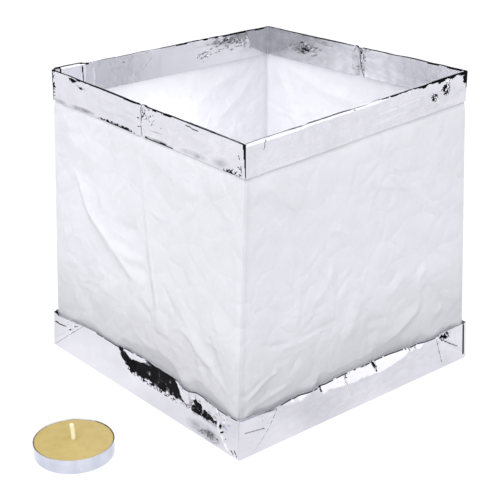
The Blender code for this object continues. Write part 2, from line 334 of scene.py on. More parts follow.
def cell_middles(grid):
    return (grid[:-1, :-1] + grid[1:, :-1] + grid[:-1, 1:] + grid[1:, 1:]) / 4


def finish_piece(obj, body, slot, *nodes):
    """Tells the frame which body a piece rides on, and hides the CAD nodes that it replaces. Its slot is
    not used.
    """
    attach(obj, body)
    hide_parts(*nodes)


# ---- materials ----

class Nodes:
    """A node tree with short ways to add and join its nodes."""

    def __init__(self, owner):
        owner.use_nodes = True
        self.tree = owner.node_tree
        self.tree.nodes.clear()

    def add(self, kind, inputs=(), **settings):
        """A node with its inputs joined to other nodes' sockets, or set where a value is given."""
        node = self.tree.nodes.new(kind)
        for key, value in settings.items():
            setattr(node, key, value)
        for key, value in dict(inputs).items():
            socket = node.inputs[key]
            if isinstance(value, bpy.types.NodeSocket):
                self.tree.links.new(value, socket)
            elif socket.type == "RGBA" and len(value) == 3:
                socket.default_value = (*value, 1.0)
            else:
                socket.default_value = value
        return node

    def maths(self, operation, first, second):
        return self.add("ShaderNodeMath", {0: first, 1: second}, operation=operation).outputs[0]

    def vectors(self, operation, first, second=None):
        """The result of a sum on places or directions: a number for a length or a dot product."""
        inputs = {0: first}
        if second is not None:
            inputs["Scale" if operation == "SCALE" else 1] = second
        outputs = self.add("ShaderNodeVectorMath", inputs, operation=operation).outputs
        return outputs["Value" if operation in ("DOT_PRODUCT", "LENGTH") else "Vector"]

    def place(self, stretch=(1.0, 1.0, 1.0)):
        """Places in the row frame, in metres, stretched along an axis if asked."""
        coordinates = self.add("ShaderNodeTexCoord").outputs["Object"]
        return self.add("ShaderNodeMapping", {"Vector": coordinates, "Scale": stretch}).outputs[0]

    def shifted(self, scale, reach):
        """A wandering offset, to bend a pattern's straight lines."""
        node = self.add("ShaderNodeTexNoise", {"Vector": self.place(), "Scale": scale, "Detail": 1.0})
        return self.vectors("SCALE", node.outputs["Color"], reach)

    def off_line(self, start, end):
        """How far each place lies from the straight line between two places."""
        run = Vector(end) - Vector(start)
        offset = self.vectors("SUBTRACT", self.place(), start)
        part = self.vectors("DOT_PRODUCT", offset, run / run.length_squared)
        near = self.vectors("SCALE", tuple(run), self.spread(part, 0.0, 1.0, (0.0, 1.0)))
        return self.vectors("LENGTH", self.vectors("SUBTRACT", offset, near))

    def noise(self, scale, detail=2.0, stretch=(1.0, 1.0, 1.0), distortion=0.0):
        return self.add("ShaderNodeTexNoise", {
            "Vector": self.place(stretch), "Scale": scale, "Detail": detail,
            "Distortion": distortion}).outputs["Fac"]

    def spread(self, value, low, high, at=(0.3, 0.7)):
        """Maps a value's usual range onto low to high."""
        return self.add("ShaderNodeMapRange", {
            "Value": value, "From Min": at[0], "From Max": at[1], "To Min": low,
            "To Max": high}).outputs["Result"]

    def mix_colours(self, share, first, second):
        inputs = {0: share, 6: first, 7: second}        # a Mix node's colour inputs
        return self.add("ShaderNodeMix", inputs, data_type="RGBA").outputs[2]

    def tint(self, pattern, first, second, at=(0.3, 0.7)):
        """A colour that goes from first to second over a pattern's usual range."""
        return self.mix_colours(self.spread(pattern, 0.0, 1.0, at), first, second)

    def bump(self, height, strength, distance, under=None):
        inputs = {"Height": height, "Strength": strength, "Distance": distance}
        if under is not None:
            inputs["Normal"] = under
        return self.add("ShaderNodeBump", inputs).outputs["Normal"]

    def surface(self, **inputs):
        """The Principled shader. An input's name is given with _ for each space."""
        named = {key.replace("_", " "): value for key, value in inputs.items()}
        return self.add("ShaderNodeBsdfPrincipled", named).outputs[0]

    def mix_shaders(self, share, first, second):
        return self.add("ShaderNodeMixShader", {0: share, 1: first, 2: second}).outputs[0]

    def output(self, shader):
        self.add("ShaderNodeOutputMaterial", {"Surface": shader})

    def paint(self, **inputs):
        self.output(self.surface(**inputs))


def new_material(name):
    material = bpy.data.materials.new(name)
    return material, Nodes(material)


def foil_material(name, seed, tints, painted_darks=()):
    """Mirror foil on card: silver between two tints, with faint handling haze and a fine rumple.
    Painted darks are streaky patches of painted shade and painted dark reflection, each a place, a reach
    along each axis, and a strength."""
    material, n = new_material(name)
    colour = n.tint(n.noise(70.0 + seed, 4.0, (1.0, 1.0, 0.4)), *tints)
    streaks = n.spread(n.noise(150.0, 5.0, (1.0, 1.0, 2.2), 0.5), 0.35, 1.0, (0.36, 0.64))
    # each patch mixes painted shade or a painted dark reflection into the foil's colour
    for place, reach, strength in painted_darks:
        shares = n.vectors("DIVIDE", n.vectors("SUBTRACT", n.place(), place), reach)
        near = n.spread(n.vectors("LENGTH", shares), strength, 0.0, (0.25, 1.0))
        colour = n.mix_colours(n.maths("MULTIPLY", near, streaks), colour, PAINTED_DARK_FOIL)
    roughness = n.spread(n.noise(240.0 + seed, 3.0), 0.05, 0.12)
    rumple = n.bump(n.noise(150.0 + seed, 3.0, distortion=0.6), 0.25, 0.0006)
    grain = n.bump(n.noise(1300.0, 2.0), 0.3, 0.0001, rumple)
    n.paint(Base_Color=colour, Metallic=1.0, Roughness=roughness, Normal=grain)
    return material


def painted_black_material():
    """Painted near-black: painted shade and painted dark reflections on foil lines, specks, edges and cut
    ends.
    """
    material, n = new_material("painted_black_shade")
    core = n.noise(1100.0, 3.0)
    n.paint(Base_Color=n.tint(core, (0.0015, 0.0015, 0.002), (0.01, 0.01, 0.012)), Roughness=0.8,
            Specular_IOR_Level=0.03, Normal=n.bump(core, 0.4, 0.0001))
    return material


# the tissue's sharpest folds: a side, two places on it, a width and a rise as a share of a millimetre
FINE_FOLDS = (
    ("left", (-0.003, 0.141), (0.0054, 0.0962), 0.0022, 0.5),
    ("left", (0.0054, 0.0962), (0.0155, 0.044), 0.0022, 0.5),
    ("left", (-0.0595, 0.1151), (-0.0428, 0.0889), 0.003, 0.6),
    ("left", (-0.0428, 0.0889), (-0.0075, 0.0671), 0.003, 0.6),
    ("left", (0.0197, 0.0692), (0.0275, 0.0577), 0.0025, -0.45),
    ("left", (0.035, 0.0516), (0.0705, 0.0317), 0.0025, 0.5),
    ("left", (0.043, 0.049), (0.052, 0.031), 0.0025, 0.45),
    ("left", (0.0554, 0.0539), (0.074, 0.025), 0.0025, -0.45),
    ("front", (-0.0775, 0.032), (-0.062, 0.038), 0.0026, -0.45),
    ("front", (-0.062, 0.038), (-0.056, 0.039), 0.0026, -0.4),
    ("front", (-0.0775, 0.024), (-0.0495, 0.0297), 0.003, -0.5),
    ("front", (-0.0495, 0.0297), (-0.043, 0.032), 0.0026, -0.4),
    ("front", (-0.051, 0.0465), (-0.027, 0.049), 0.0022, -0.28),
    ("front", (-0.0405, 0.0516), (-0.018, 0.053), 0.0022, -0.28),
    ("front", (-0.0604, 0.1326), (-0.0401, 0.1146), 0.0024, 0.35),
    ("front", (0.018, 0.029), (0.044, 0.042), 0.0024, 0.4),
)


def tissue_material():
    """Thin white tissue: cloudy, fibrous, fine-wrinkled, and letting light through, with painted shade
    near its foot.
    """
    material, n = new_material("white_tissue")
    fibre = n.noise(900.0, 3.0, (1.0, 1.0, 0.35))
    cloud = n.maths("MULTIPLY", n.noise(110.0, 5.0), 0.6)
    pulp = n.tint(n.maths("ADD", cloud, n.maths("MULTIPLY", fibre, 0.4)), (0.865, 0.865, 0.895),
                  (0.91, 0.91, 0.94))
    level = n.add("ShaderNodeSeparateXYZ", {0: n.place()}).outputs["Z"]
    colour = n.tint(level, (0.76, 0.76, 0.785), pulp, (0.012, 0.062))     # painted shade: darker near the foot, where the tray blocks the light
    bent = n.vectors("ADD", n.place(), n.shifted(40.0, 0.012))
    cells = n.add("ShaderNodeTexVoronoi", {"Vector": bent, "Scale": 75.0}, feature="DISTANCE_TO_EDGE")
    creases = n.bump(n.spread(cells.outputs["Distance"], 0.0, 1.0, (0.0, 0.22)), 0.32, 0.0008)
    wrinkle = n.bump(n.noise(260.0, 4.0, distortion=0.9), 0.18, 0.0006, creases)
    fold = 0.0
    for side, start, end, width, rise in FINE_FOLDS:
        ends = [tuple(to_world(side, np.array(along), SHADE_FOOT_HALF, np.array(height)))
                for along, height in (start, end)]
        fold = n.maths("ADD", fold, n.spread(n.off_line(*ends), rise, 0.0, (0.0, width)))
    fine = n.bump(fibre, 0.18, 0.0002, n.bump(fold, 1.0, 0.001, wrinkle))
    front = n.surface(Base_Color=colour, Roughness=0.85, Specular_IOR_Level=0.25, Normal=fine)
    through = n.add("ShaderNodeBsdfTranslucent", {"Color": colour, "Normal": fine}).outputs[0]
    n.output(n.mix_shaders(0.36, front, through))
    return material


def foam_material():
    material, n = new_material("foam_tape")
    cells = n.add("ShaderNodeTexVoronoi", {"Vector": n.place(), "Scale": 1600.0}).outputs["Distance"]
    n.paint(Base_Color=n.tint(cells, (0.72, 0.72, 0.7), (0.88, 0.88, 0.85), (0.0, 0.8)), Roughness=0.9,
            Normal=n.bump(cells, 0.5, 0.0002))
    return material


def steel_material():
    material, n = new_material("staple_steel")
    wear = n.noise(700.0, 3.0)
    n.paint(Base_Color=n.tint(wear, (0.2, 0.2, 0.21), (0.42, 0.42, 0.44)), Metallic=1.0,
            Roughness=n.spread(n.noise(1200.0, 2.0), 0.25, 0.42), Normal=n.bump(wear, 0.15, 0.0001))
    return material


def cup_material():
    """Pressed aluminium: fine upright drawing lines and a soft satin."""
    material, n = new_material("pressed_aluminium")
    drawn = n.noise(800.0, 3.0, (1.0, 1.0, 0.08))
    n.paint(Base_Color=n.tint(n.noise(160.0, 3.0), (0.62, 0.64, 0.75), (0.72, 0.74, 0.85)), Metallic=1.0,
            Roughness=n.spread(drawn, 0.14, 0.3), Normal=n.bump(drawn, 0.25, 0.0002))
    return material


def wax_material():
    material, n = new_material("honey_wax")
    mottle = n.noise(220.0, 4.0)
    n.paint(Base_Color=n.tint(mottle, (0.425, 0.322, 0.11), (0.468, 0.362, 0.136)),
            Roughness=n.spread(n.noise(900.0, 3.0), 0.32, 0.5), Subsurface_Weight=0.25,
            Subsurface_Radius=(0.004, 0.0028, 0.0012), Subsurface_Scale=1.0,
            Normal=n.bump(mottle, 0.1, 0.0004))
    return material


def wick_material():
    material, n = new_material("braided_cotton")
    thread = n.noise(2600.0, 3.0, (1.0, 1.0, 0.3))
    n.paint(Base_Color=n.tint(thread, (0.86, 0.78, 0.46), (0.98, 0.93, 0.66)), Roughness=0.92,
            Sheen_Weight=0.2, Normal=n.bump(thread, 0.6, 0.0002))
    return material


def tin_material():
    material, n = new_material("sustainer_tin")
    stain = n.noise(500.0, 4.0)
    n.paint(Base_Color=n.tint(stain, (0.55, 0.55, 0.57), (0.72, 0.72, 0.74)), Metallic=1.0,
            Roughness=n.spread(stain, 0.3, 0.5), Normal=n.bump(stain, 0.1, 0.0002))
    return material


# the near-black colour of the painted shade and painted dark reflections in the foil
PAINTED_DARK_FOIL = (0.09, 0.092, 0.11)
OUTER_TINTS = ((0.722, 0.715, 0.785), (0.755, 0.747, 0.815))
INNER_TINTS = ((0.752, 0.754, 0.765), (0.78, 0.782, 0.792))
HIGHLIGHT_TINTS = ((0.93, 0.93, 0.96), (0.97, 0.97, 0.99))
# the patches listed for each foil are painted shade and painted dark reflections
TRAY_FOIL = foil_material("tray_foil_skin", 0.0, OUTER_TINTS, (
    ((-0.08, -0.054, 0.0048), (0.01, 0.017, 0.0052), 0.75),
    ((-0.08, -0.0585, 0.004), (0.01, 0.008, 0.0042), 0.6),
    ((0.005, -0.08, 0.013), (0.12, 0.006, 0.028), 0.13)))
RIM_FOIL = foil_material("rim_foil_skin", 17.0, OUTER_TINTS, (
    ((-0.075, 0.048, 0.1427), (0.006, 0.012, 0.0016), 1.0),
    ((-0.075, 0.068, 0.1427), (0.006, 0.007, 0.0014), 0.6),
    ((-0.075, 0.02, 0.1419), (0.006, 0.017, 0.001), 0.75),
    ((-0.075, -0.013, 0.1414), (0.006, 0.012, 0.0013), 0.9),
    ((-0.075, -0.04, 0.1419), (0.006, 0.011, 0.002), 0.5),
    ((-0.075, -0.059, 0.143), (0.006, 0.0075, 0.003), 0.5),
    ((-0.075, -0.0115, 0.1457), (0.006, 0.006, 0.0006), 0.5),
    ((-0.075, 0.048, 0.1538), (0.006, 0.005, 0.0009), 0.5),
    ((0.05, -0.075, 0.151), (0.04, 0.006, 0.009), 0.12)))
RIM_INNER_FOIL = foil_material("rim_inner_foil_skin", 5.0, INNER_TINTS, (
    ((0.0734, 0.043, 0.1495), (0.006, 0.014, 0.0042), 0.85),
    ((0.0734, 0.01, 0.15), (0.006, 0.14, 0.04), 0.28),
    ((0.044, 0.0734, 0.1535), (0.015, 0.006, 0.0035), 0.7)))
# bright foil colour for painted highlights
PAINTED_HIGHLIGHT_FOIL = foil_material("painted_highlight_foil_skin", 9.0, HIGHLIGHT_TINTS)
# near-black material for painted shade and painted dark reflections
PAINTED_BLACK = painted_black_material()
WHITE_TISSUE = tissue_material()
FOAM = foam_material()
STEEL = steel_material()
CUP_METAL = cup_material()
WAX = wax_material()
COTTON = wick_material()
TIN = tin_material()


# ---- foil tray ----

TRAY_CORNER = 0.0018        # outside radius of the folded corners


def tray_half(height):
    share = np.clip(height / TRAY_HEIGHT, 0.0, 1.0)
    return TRAY_HALF + share * (TRAY_TOP_HALF - TRAY_HALF)


def bent_wall(along, height, fold, lower, upper, end=TRAY_HEIGHT):
    """A wall bent along a line: it slopes out by lower up to the fold, and by upper from there on."""
    ragged = 0.00015 * wander(along / 0.0016 + 30, height / 0.0016 + 10, 15)
    fold = fold + ragged + 0.0005 * wander(along / 0.0045 + 30, 0 * along, 15)
    soft = 0.0005
    past_fold = soft * np.logaddexp(0.0, (height - fold) / soft)
    past_end = soft * np.logaddexp(0.0, (height - end - soft) / soft)
    return lower * height + (upper - lower) * past_fold - upper * past_end


def left_wall_form(along, height):
    """The left wall leans in over its middle, and is crumpled near the front left corner."""
    slant = along + 1.1 * (height - 0.017) + 0.0004 * wander(along / 0.002 + 30, height / 0.002, 16)
    # the long dark patch: foil that leans back so far that it mirrors the room's dark side
    end = 0.018 + 0.0034 * smooth((along + 0.01) / 0.018)
    form = bent_wall(along, height, 0.0126, 0.078, -0.475, end) * between(slant, -0.018, 0.04, 0.009)
    # a slight bend beside it, and the wall's far end, which stands out at its top
    form += bent_wall(along, height, 0.01, 0.03, -0.1) * between(along, -0.06, -0.012, 0.02)
    form += 0.0012 * (height / TRAY_HEIGHT) * between(along, -0.081, -0.06, 0.01)
    # the second dark patch, which gets lower towards the front left corner
    end = 0.0176 - 0.0034 * smooth((along - 0.04) / 0.024)
    second = smooth((along - 0.0402) / 0.005) * smooth((0.067 - slant) / 0.008)
    form += bent_wall(along, height, 0.0114, 0.076, -0.46, end) * second
    # crinkles in the foil from there to the corner, and the fold between them
    form += crumple(along, height, (0.054, 0.0045), (0.016, 0.0055), 0.00016, 0.0017, 3, 1.5)
    form += crumple(along, height, (0.0705, 0.011), (0.006, 0.013), 0.00022, 0.0018, 5)
    form += crease(along, height, [(0.064, 0.0205), (0.0655, 0.0125), (0.0715, 0.0025)], 0.0022, 0.0007)
    form += crumple(along, height, (0.0765, 0.003), (0.004, 0.004), 0.0003, 0.0015, 7)
    return form


def front_wall_form(along, height):
    """The front wall's upper third is rolled in, with short nicks across the roll."""
    # how high the roll starts at places along the wall
    places = (-0.056, -0.048, -0.042, -0.033, -0.026, -0.01, 0.015, 0.03, 0.035, 0.043, 0.05)
    starts = (0.0215, 0.0185, 0.0178, 0.0205, 0.0165, 0.015, 0.0142, 0.016, 0.019, 0.0178, 0.0215)
    form = bent_wall(along, height, np.interp(along, places, starts), 0.057, -0.4)
    form *= between(along, -0.07, 0.062, 0.01)
    nicks = (
        [(-0.0278, 0.0215), (-0.027, 0.0185)],
        [(-0.0095, 0.0215), (-0.0085, 0.014), (-0.0058, 0.0064)],
        [(0.0098, 0.0215), (0.0125, 0.016)],
        [(0.0352, 0.0215), (0.036, 0.019)],
    )
    for route in nicks:
        form += crease(along, height, route, 0.0014, -0.001, fade=0.12)
    # creases that run down to the front right corner, from a crinkled spot at the top
    form += crease(along, height, [(0.0545, 0.021), (0.058, 0.012), (0.0612, 0.0035)], 0.0016, 0.0007)
    form += crease(along, height, [(0.0575, 0.0205), (0.066, 0.0125), (0.0755, 0.0045)], 0.002, -0.001)
    form += crease(along, height, [(0.07, 0.0205), (0.0725, 0.012), (0.072, 0.005)], 0.0014, 0.0005)
    form += crumple(along, height, (0.063, 0.0185), (0.007, 0.004), 0.0005, 0.0022, 11)
    return form


def plain_wall_form(side, along, height):
    """Hidden sides of the tray: gentle bends, a few nicks along the top edge, and stray creases."""
    seed = 40 + SIDES.index(side)
    form = bent_wall(along, height, 0.012, 0.05, -0.22) * between(along, -0.045, 0.05, 0.02)
    rng = np.random.default_rng(seed)
    for start in rng.uniform(-0.055, 0.06, 4):
        route = [(start, 0.0212), (start + rng.uniform(-0.002, 0.003), rng.uniform(0.008, 0.016))]
        form += crease(along, height, route, 0.0013, -0.0006, fade=0.12)
    centre = (rng.uniform(0.05, 0.062), 0.006)
    return form + crumple(along, height, centre, (0.014, 0.007), 0.00022, 0.0022, seed)


def wall_form(side, along, height):
    """How far the wall's outer face stands out from the plane that it was folded to."""
    if side == "left":
        form = left_wall_form(along, height)
    elif side == "front":
        form = front_wall_form(along, height)
    else:
        form = plain_wall_form(side, along, height)
    seed = 20 + SIDES.index(side)
    form += 0.00016 * wander(along / 0.017 + 20, height / 0.011, seed)
    form += 0.00006 * wander(along / 0.004 + 20, height / 0.004, seed + 4)
    form += random_creases(along, height, 14, seed + 8, (-0.07, 0.07, 0.001, 0.02), (0.004, 0.012),
                           (0.001, 0.002), (0.00005, 0.00018))
    at_corner = smooth((TRAY_HALF - 0.0015 - np.abs(along)) / 0.008)
    return form * at_corner * smooth(height / 0.003)


def wall_top(side, along):
    """Height of the wall's top edge, which was cut and folded by hand."""
    rise = 0.0002 * wander(along / 0.012 + 30, 0 * along, 60 + SIDES.index(side))
    if side == "left":
        rise = rise + 0.001 * between(along, -0.062, 0.01, 0.018)
    return TRAY_HEIGHT + rise


def tray_points(side, turn, share, inset):
    """Points on a wall, at a share of its height and an inset behind its outer face."""
    turn, share = np.meshgrid(turn, share)
    half = TRAY_HALF + share * (TRAY_TOP_HALF - TRAY_HALF)
    radius = np.maximum(TRAY_CORNER - inset, 0.0003)
    along, out, angle = square_path(turn, half - inset, radius)
    height = CARD * 0.5 + share * (wall_top(side, along) - CARD * 0.5)
    form = wall_form(side, along, height)
    # small puckers round the folded corner
    corner_ripple = 0.00012 * np.sin(angle * 14.0 + 40.0 * height) * (np.abs(angle) > 0)
    out = out + (form + corner_ripple) * np.cos(angle)
    along = along + corner_ripple * np.sin(angle)
    return settle(to_world(side, along, out, height))


# painted dark reflections: near-black lines painted on each wall where its foil would mirror something
# dark: a route and a width
TRAY_PAINTED_DARK_LINES = {
    "front": (
        ([(0.0785, 0.02), (0.0785, 0.003)], 0.0015),
        ([(-0.0278, 0.0212), (-0.0272, 0.019)], 0.0007),
        ([(-0.0095, 0.0212), (-0.009, 0.0185)], 0.0006),
        ([(0.0098, 0.0212), (0.0112, 0.0185)], 0.0013), ([(0.0112, 0.0185), (0.0125, 0.017)], 0.0006),
        ([(0.0352, 0.0212), (0.0356, 0.02)], 0.0006),
        ([(0.0585, 0.0195), (0.066, 0.0135), (0.0735, 0.009)], 0.0005),
        ([(0.055, 0.0205), (0.058, 0.012), (0.0612, 0.0035)], 0.00022),
    ),
    "left": (
        ([(0.0745, 0.003), (0.0762, 0.0012)], 0.0006),
        ([(0.0772, 0.0036), (0.0788, 0.0012)], 0.0006),
        ([(-0.0796, 0.02), (-0.0796, 0.001)], 0.0005),
    ),
}
# patches of painted dark specks, for dark reflections: a centre, a reach along and up the wall, and how
# densely it is specked
TRAY_PAINTED_SPECKS = {
    "front": (((0.0603, 0.0192), (0.0024, 0.0014), 0.95), ((0.064, 0.0186), (0.0026, 0.0024), 0.75)),
    "left": (((0.013, 0.0124), (0.026, 0.0014), 0.35), ((-0.009, 0.015), (0.005, 0.003), 0.45),
             ((0.05, 0.013), (0.012, 0.0016), 0.25), ((0.057, 0.0042), (0.009, 0.003), 0.04),
             ((0.061, 0.0034), (0.005, 0.0024), 0.1)),
}
# stretches of each wall's top edge painted near-black, a painted dark reflection: start, end, depth,
# share painted
TRAY_PAINTED_TOP_DARK = {
    "front": ((-0.055, 0.058, 0.0005, 0.75),), "left": ((-0.04, 0.079, 0.0005, 0.9),),
    "right": ((-0.06, 0.06, 0.0005, 0.5),), "back": ((-0.06, 0.06, 0.0005, 0.5),),
}
# painted highlights: lines where creased foil is painted bright: a route and a width
TRAY_PAINTED_HIGHLIGHTS = {
    "left": (([(0.064, 0.0208), (0.0655, 0.013), (0.069, 0.007), (0.0718, 0.0022)], 0.0015),
             ([(0.066, 0.0206), (0.07, 0.018), (0.069, 0.015)], 0.0007),
             ([(0.07, 0.004), (0.0765, 0.001)], 0.0008)),
}


def make_tray_wall(side):
    turn = turns_along(-0.9995, 0.9995, TRAY_HALF, TRAY_CORNER, FOIL_STEP)
    share = np.linspace(0.0, 1.0, round(TRAY_HEIGHT / FOIL_STEP))
    outer = tray_points(side, turn, share, 0.0)
    inner = tray_points(side, turn, share, CARD)
    name = f"tray_wall_{side}"
    wall = make_shell(f"foil_{name}", outer, inner, TRAY_FOIL)
    along, height = np.meshgrid((turn[:-1] + turn[1:]) / 2 * TRAY_HALF,
                                (share[:-1] + share[1:]) / 2 * TRAY_HEIGHT)
    # the painted highlight's edges wander, and it is broken here and there
    ragged = 0.0009 * wander(along / 0.0014 + 60, height / 0.0014, 31)
    broken = wander(along / 0.0009 + 20, height / 0.0013, 32) > -0.25
    painted_highlight = near_routes(along + ragged, height, TRAY_PAINTED_HIGHLIGHTS.get(side, ()))
    change_skin(wall, painted_highlight & broken, PAINTED_HIGHLIGHT_FOIL)
    # painted dark reflections and painted shade: near-black lines, specks and top-edge dashes
    painted_dark = near_routes(along, height, TRAY_PAINTED_DARK_LINES.get(side, ()))
    painted_dark |= specked(along, height, TRAY_PAINTED_SPECKS.get(side, ()), 33)
    painted_dark |= along_edge(along, TRAY_HEIGHT - height, TRAY_PAINTED_TOP_DARK[side], 34)
    change_skin(wall, painted_dark, PAINTED_BLACK)
    finish_piece(wall, "tray", "tray_foil", name)


def make_tray_floor():
    """The folded sheet's flat middle, a little quilted where it bridges the table."""
    half = TRAY_HALF - CARD
    steps = np.linspace(-half, half, FLOOR_STEPS)
    x, y = np.meshgrid(steps, steps)
    edge = smooth((half - np.maximum(np.abs(x), np.abs(y))) / 0.012)
    lift = 0.0004 * (0.5 + 0.5 * wander(x / 0.022 + 30, y / 0.022 + 30, 70))
    lift += 0.00015 * np.abs(wander(x / 0.006 + 30, y / 0.006 + 30, 71))
    top = np.stack([x, y, CARD + lift * edge], axis=-1)
    under = np.stack([x, y, lift * edge], axis=-1)
    floor = make_shell("foil_tray_floor", settle(top), settle(under), TRAY_FOIL)
    finish_piece(floor, "tray", "tray_foil", "tray_floor")


# ---- corner ears and staples ----

EAR_THICK = 2 * CARD
# for each ear: how far it reaches, how much its tip stands above the wall, and how its long edge
# curves, from 1 for a straight one down to 0.4 for one that bows out
EARS = {
    "front_left": (0.021, 0.0, 0.42),
    "front_right": (0.0245, 0.0002, 0.8),
    "back_right": (0.0235, 0.0004, 0.9),
    "back_left": (0.0285, 0.0016, 1.0),
}


def ear_form(corner, along, height, share):
    """Crinkles on an ear. Share runs from the fold at the corner to the ear's long edge."""
    seed = 80 + CORNERS.index(corner)
    form = 0.0001 * wander(along / 0.006 + 20, height / 0.006, seed)
    middle = -TRAY_HALF + 0.6 * EAR_REACH
    form += crumple(along, height, (middle + 0.004, 0.016), (0.009, 0.006), 0.00022, 0.0018, seed + 4)
    if corner == "front_left":
        route = [(-0.0657, 0.0208), (-0.0657, 0.012), (-0.0714, 0.003)]
        form += crease(along, height, route, 0.0016, -0.0005)
    if corner == "back_left":
        form += crumple(along, height, (-0.059, 0.0175), (0.008, 0.007), 0.00035, 0.0016, seed + 8)
        form += crease(along, height, [(-0.0795, 0.0035), (-0.065, 0.013)], 0.0014, 0.0004)
    return form * smooth(share / 0.1) * smooth((1.04 - share) / 0.15)


def ear_place(corner, along, height):
    """How far out an ear's inner face stands at a place on its wall."""
    side = SIDES[CORNERS.index(corner)]
    return tray_half(height) + wall_form(side, along, height) + 0.6 * GAP


def make_ear(corner):
    """An ear starts on its corner's bend, follows it round and widens up to the wall's top."""
    side = SIDES[CORNERS.index(corner)]
    reach, tip_rise, power = EARS[corner]
    low, start = 0.0006, 0.0003
    share, level = np.meshgrid(np.linspace(0.0, 1.0, round(reach / FOIL_STEP)),
                               np.linspace(0.0, 1.0, round(TRAY_HEIGHT / FOIL_STEP)))
    wide = 0.0004 + reach * level ** power
    height = low + level * (TRAY_HEIGHT - GAP - low) + tip_rise * level * share
    along = -tray_half(height) + start + share * wide
    round_corner = np.clip(TRAY_CORNER - tray_half(height) - along, 0.0, TRAY_CORNER)
    face = ear_place(corner, along, height) - TRAY_CORNER + np.sqrt(TRAY_CORNER ** 2 - round_corner ** 2)
    form = ear_form(corner, along, height, share)
    near_edge = np.clip((share - 0.96) / 0.05, 0.0, 1.0)
    rounded = 0.25 * EAR_THICK * (1 - np.sqrt(1 - near_edge ** 2))
    front = settle(to_world(side, along, face + EAR_THICK + form - rounded, height))
    back = settle(to_world(side, along, face + np.maximum(form, 0.0) * 0.5, height))
    name = f"corner_ear_{corner}"
    ear = make_shell(f"foil_{name}", front, back, TRAY_FOIL)
    # painted shade: the long cut edge is painted near-black here and there, for the shadow in the crevice
    # beside it
    rows, columns = share.shape
    painted_dark = np.zeros((rows - 1, columns - 1), bool)
    painted_dark[:, -1] = np.random.default_rng(90 + CORNERS.index(corner)).uniform(size=rows - 1) < 0.75
    change_skin(ear, painted_dark, PAINTED_BLACK)
    finish_piece(ear, "tray", "tray_foil", name)


def make_staple(corner):
    """A wire staple: its crown on the ear, and its legs through ear and wall, clinched inside."""
    side = SIDES[CORNERS.index(corner)]
    start, height, slope = STAPLES[corner]
    slope = math.radians(slope)
    first = np.array([start - tray_half(height), height])
    last = first + STAPLE_CROWN * np.array([math.cos(slope), math.sin(slope)])
    step = (last - first) / np.linalg.norm(last - first)
    bend = 0.0003

    def at(flat, depth):
        along, level = np.array([flat[0]]), np.array([flat[1]])
        out = ear_place(corner, along, level) + EAR_THICK + STAPLE_WIRE * 0.45 - depth
        return settle(to_world(side, along, out, level))[0]

    through = EAR_THICK + CARD + STAPLE_WIRE + GAP

    def leg(end, inwards):
        """From the crown's end through ear and wall to the clinched tip."""
        return [at(end + inwards * bend, 0.0), at(end, bend), at(end, through - bend),
                at(end + inwards * 2 * bend, through), at(end + inwards * STAPLE_LEG, through)]

    crown = [at(first + step * STAPLE_CROWN * k / 8, 0.0) for k in range(1, 8)]
    route = leg(first, step)[::-1] + crown + leg(last, -step)
    curve = bpy.data.curves.new(f"wire_staple_{corner}", "CURVE")
    curve.dimensions = "3D"
    curve.bevel_depth = STAPLE_WIRE / 2
    curve.bevel_resolution = 3
    curve.use_fill_caps = True
    curve.resolution_u = 6
    spline = curve.splines.new("NURBS")
    spline.points.add(len(route) - 1)
    for point, place in zip(spline.points, route):
        point.co = (*place, 1.0)
    spline.order_u = 3
    spline.use_endpoint_u = True
    curve.materials.append(STEEL)
    obj = bpy.data.objects.new(f"wire_staple_{corner}", curve)
    bpy.context.scene.collection.objects.link(obj)
    finish_piece(obj, "tray", "steel_wire", f"staple_{corner}")


def make_hem_tape(side):
    """Foam tape between the tissue's foot and the wall, with soft edges."""
    half_length = (TAPE_HIGH.x - TAPE_LOW.x) / 2
    thick = 0.0007
    middle = tray_half(TAPE_LOW.z) - CARD - 0.0004
    along, height = np.meshgrid(np.linspace(-half_length, half_length, 121),
                                np.linspace(TAPE_LOW.z, TAPE_HIGH.z, 11))
    edge = np.minimum(half_length - np.abs(along), np.minimum(height - TAPE_LOW.z, TAPE_HIGH.z - height))
    plump = thick * (0.7 + 0.3 * smooth(edge / 0.0006))
    plump = plump + 0.00004 * wander(along / 0.002 + 90, height / 0.002, 90)
    front = settle(to_world(side, along, middle + 0 * along, height))
    back = settle(to_world(side, along, middle - plump, height))
    name = f"hem_tape_{side}"
    finish_piece(make_shell(f"foam_{name}", front, back, FOAM), "tray", "foam_tape", name)


# ---- tissue ----

TISSUE_CORNER = 0.0012
# folds of the sheet that makes the left and back walls, seen from outside: each a route over its
# wall with the fold's width and rise
LEFT_FOLDS = (
    ([(-0.003, 0.141), (0.0022, 0.1159), (0.0054, 0.0962), (0.0065, 0.0825), (0.0116, 0.0628),
      (0.0155, 0.044)], 0.0035, 0.0007),
    ([(-0.0595, 0.1151), (-0.0497, 0.1015), (-0.0428, 0.0889), (-0.0271, 0.0772), (-0.0075, 0.0671),
      (0.009, 0.0635)], 0.008, 0.0016),
    ([(-0.0271, 0.0772), (-0.0073, 0.0762), (0.0051, 0.0776)], 0.005, 0.001),
    ([(-0.0238, 0.0909), (-0.0111, 0.0903), (-0.0014, 0.0923)], 0.006, -0.0009),
    ([(-0.0133, 0.0624), (-0.0281, 0.0508), (-0.0406, 0.0349)], 0.008, 0.0009),
    ([(0.0197, 0.0692), (0.0249, 0.0639), (0.0275, 0.0577)], 0.006, -0.0008),
    ([(0.03, 0.056), (0.0556, 0.0416), (0.074, 0.027)], 0.006, 0.0012),
    ([(0.043, 0.0492), (0.0481, 0.0386), (0.052, 0.028)], 0.005, 0.001),
    ([(0.0554, 0.0539), (0.06, 0.04), (0.07, 0.026)], 0.005, -0.001),
    ([(-0.074, 0.138), (-0.056, 0.123), (-0.033, 0.118)], 0.012, 0.001),
    ([(-0.006, 0.139), (0.025, 0.127), (0.05, 0.123)], 0.012, 0.0007),
)
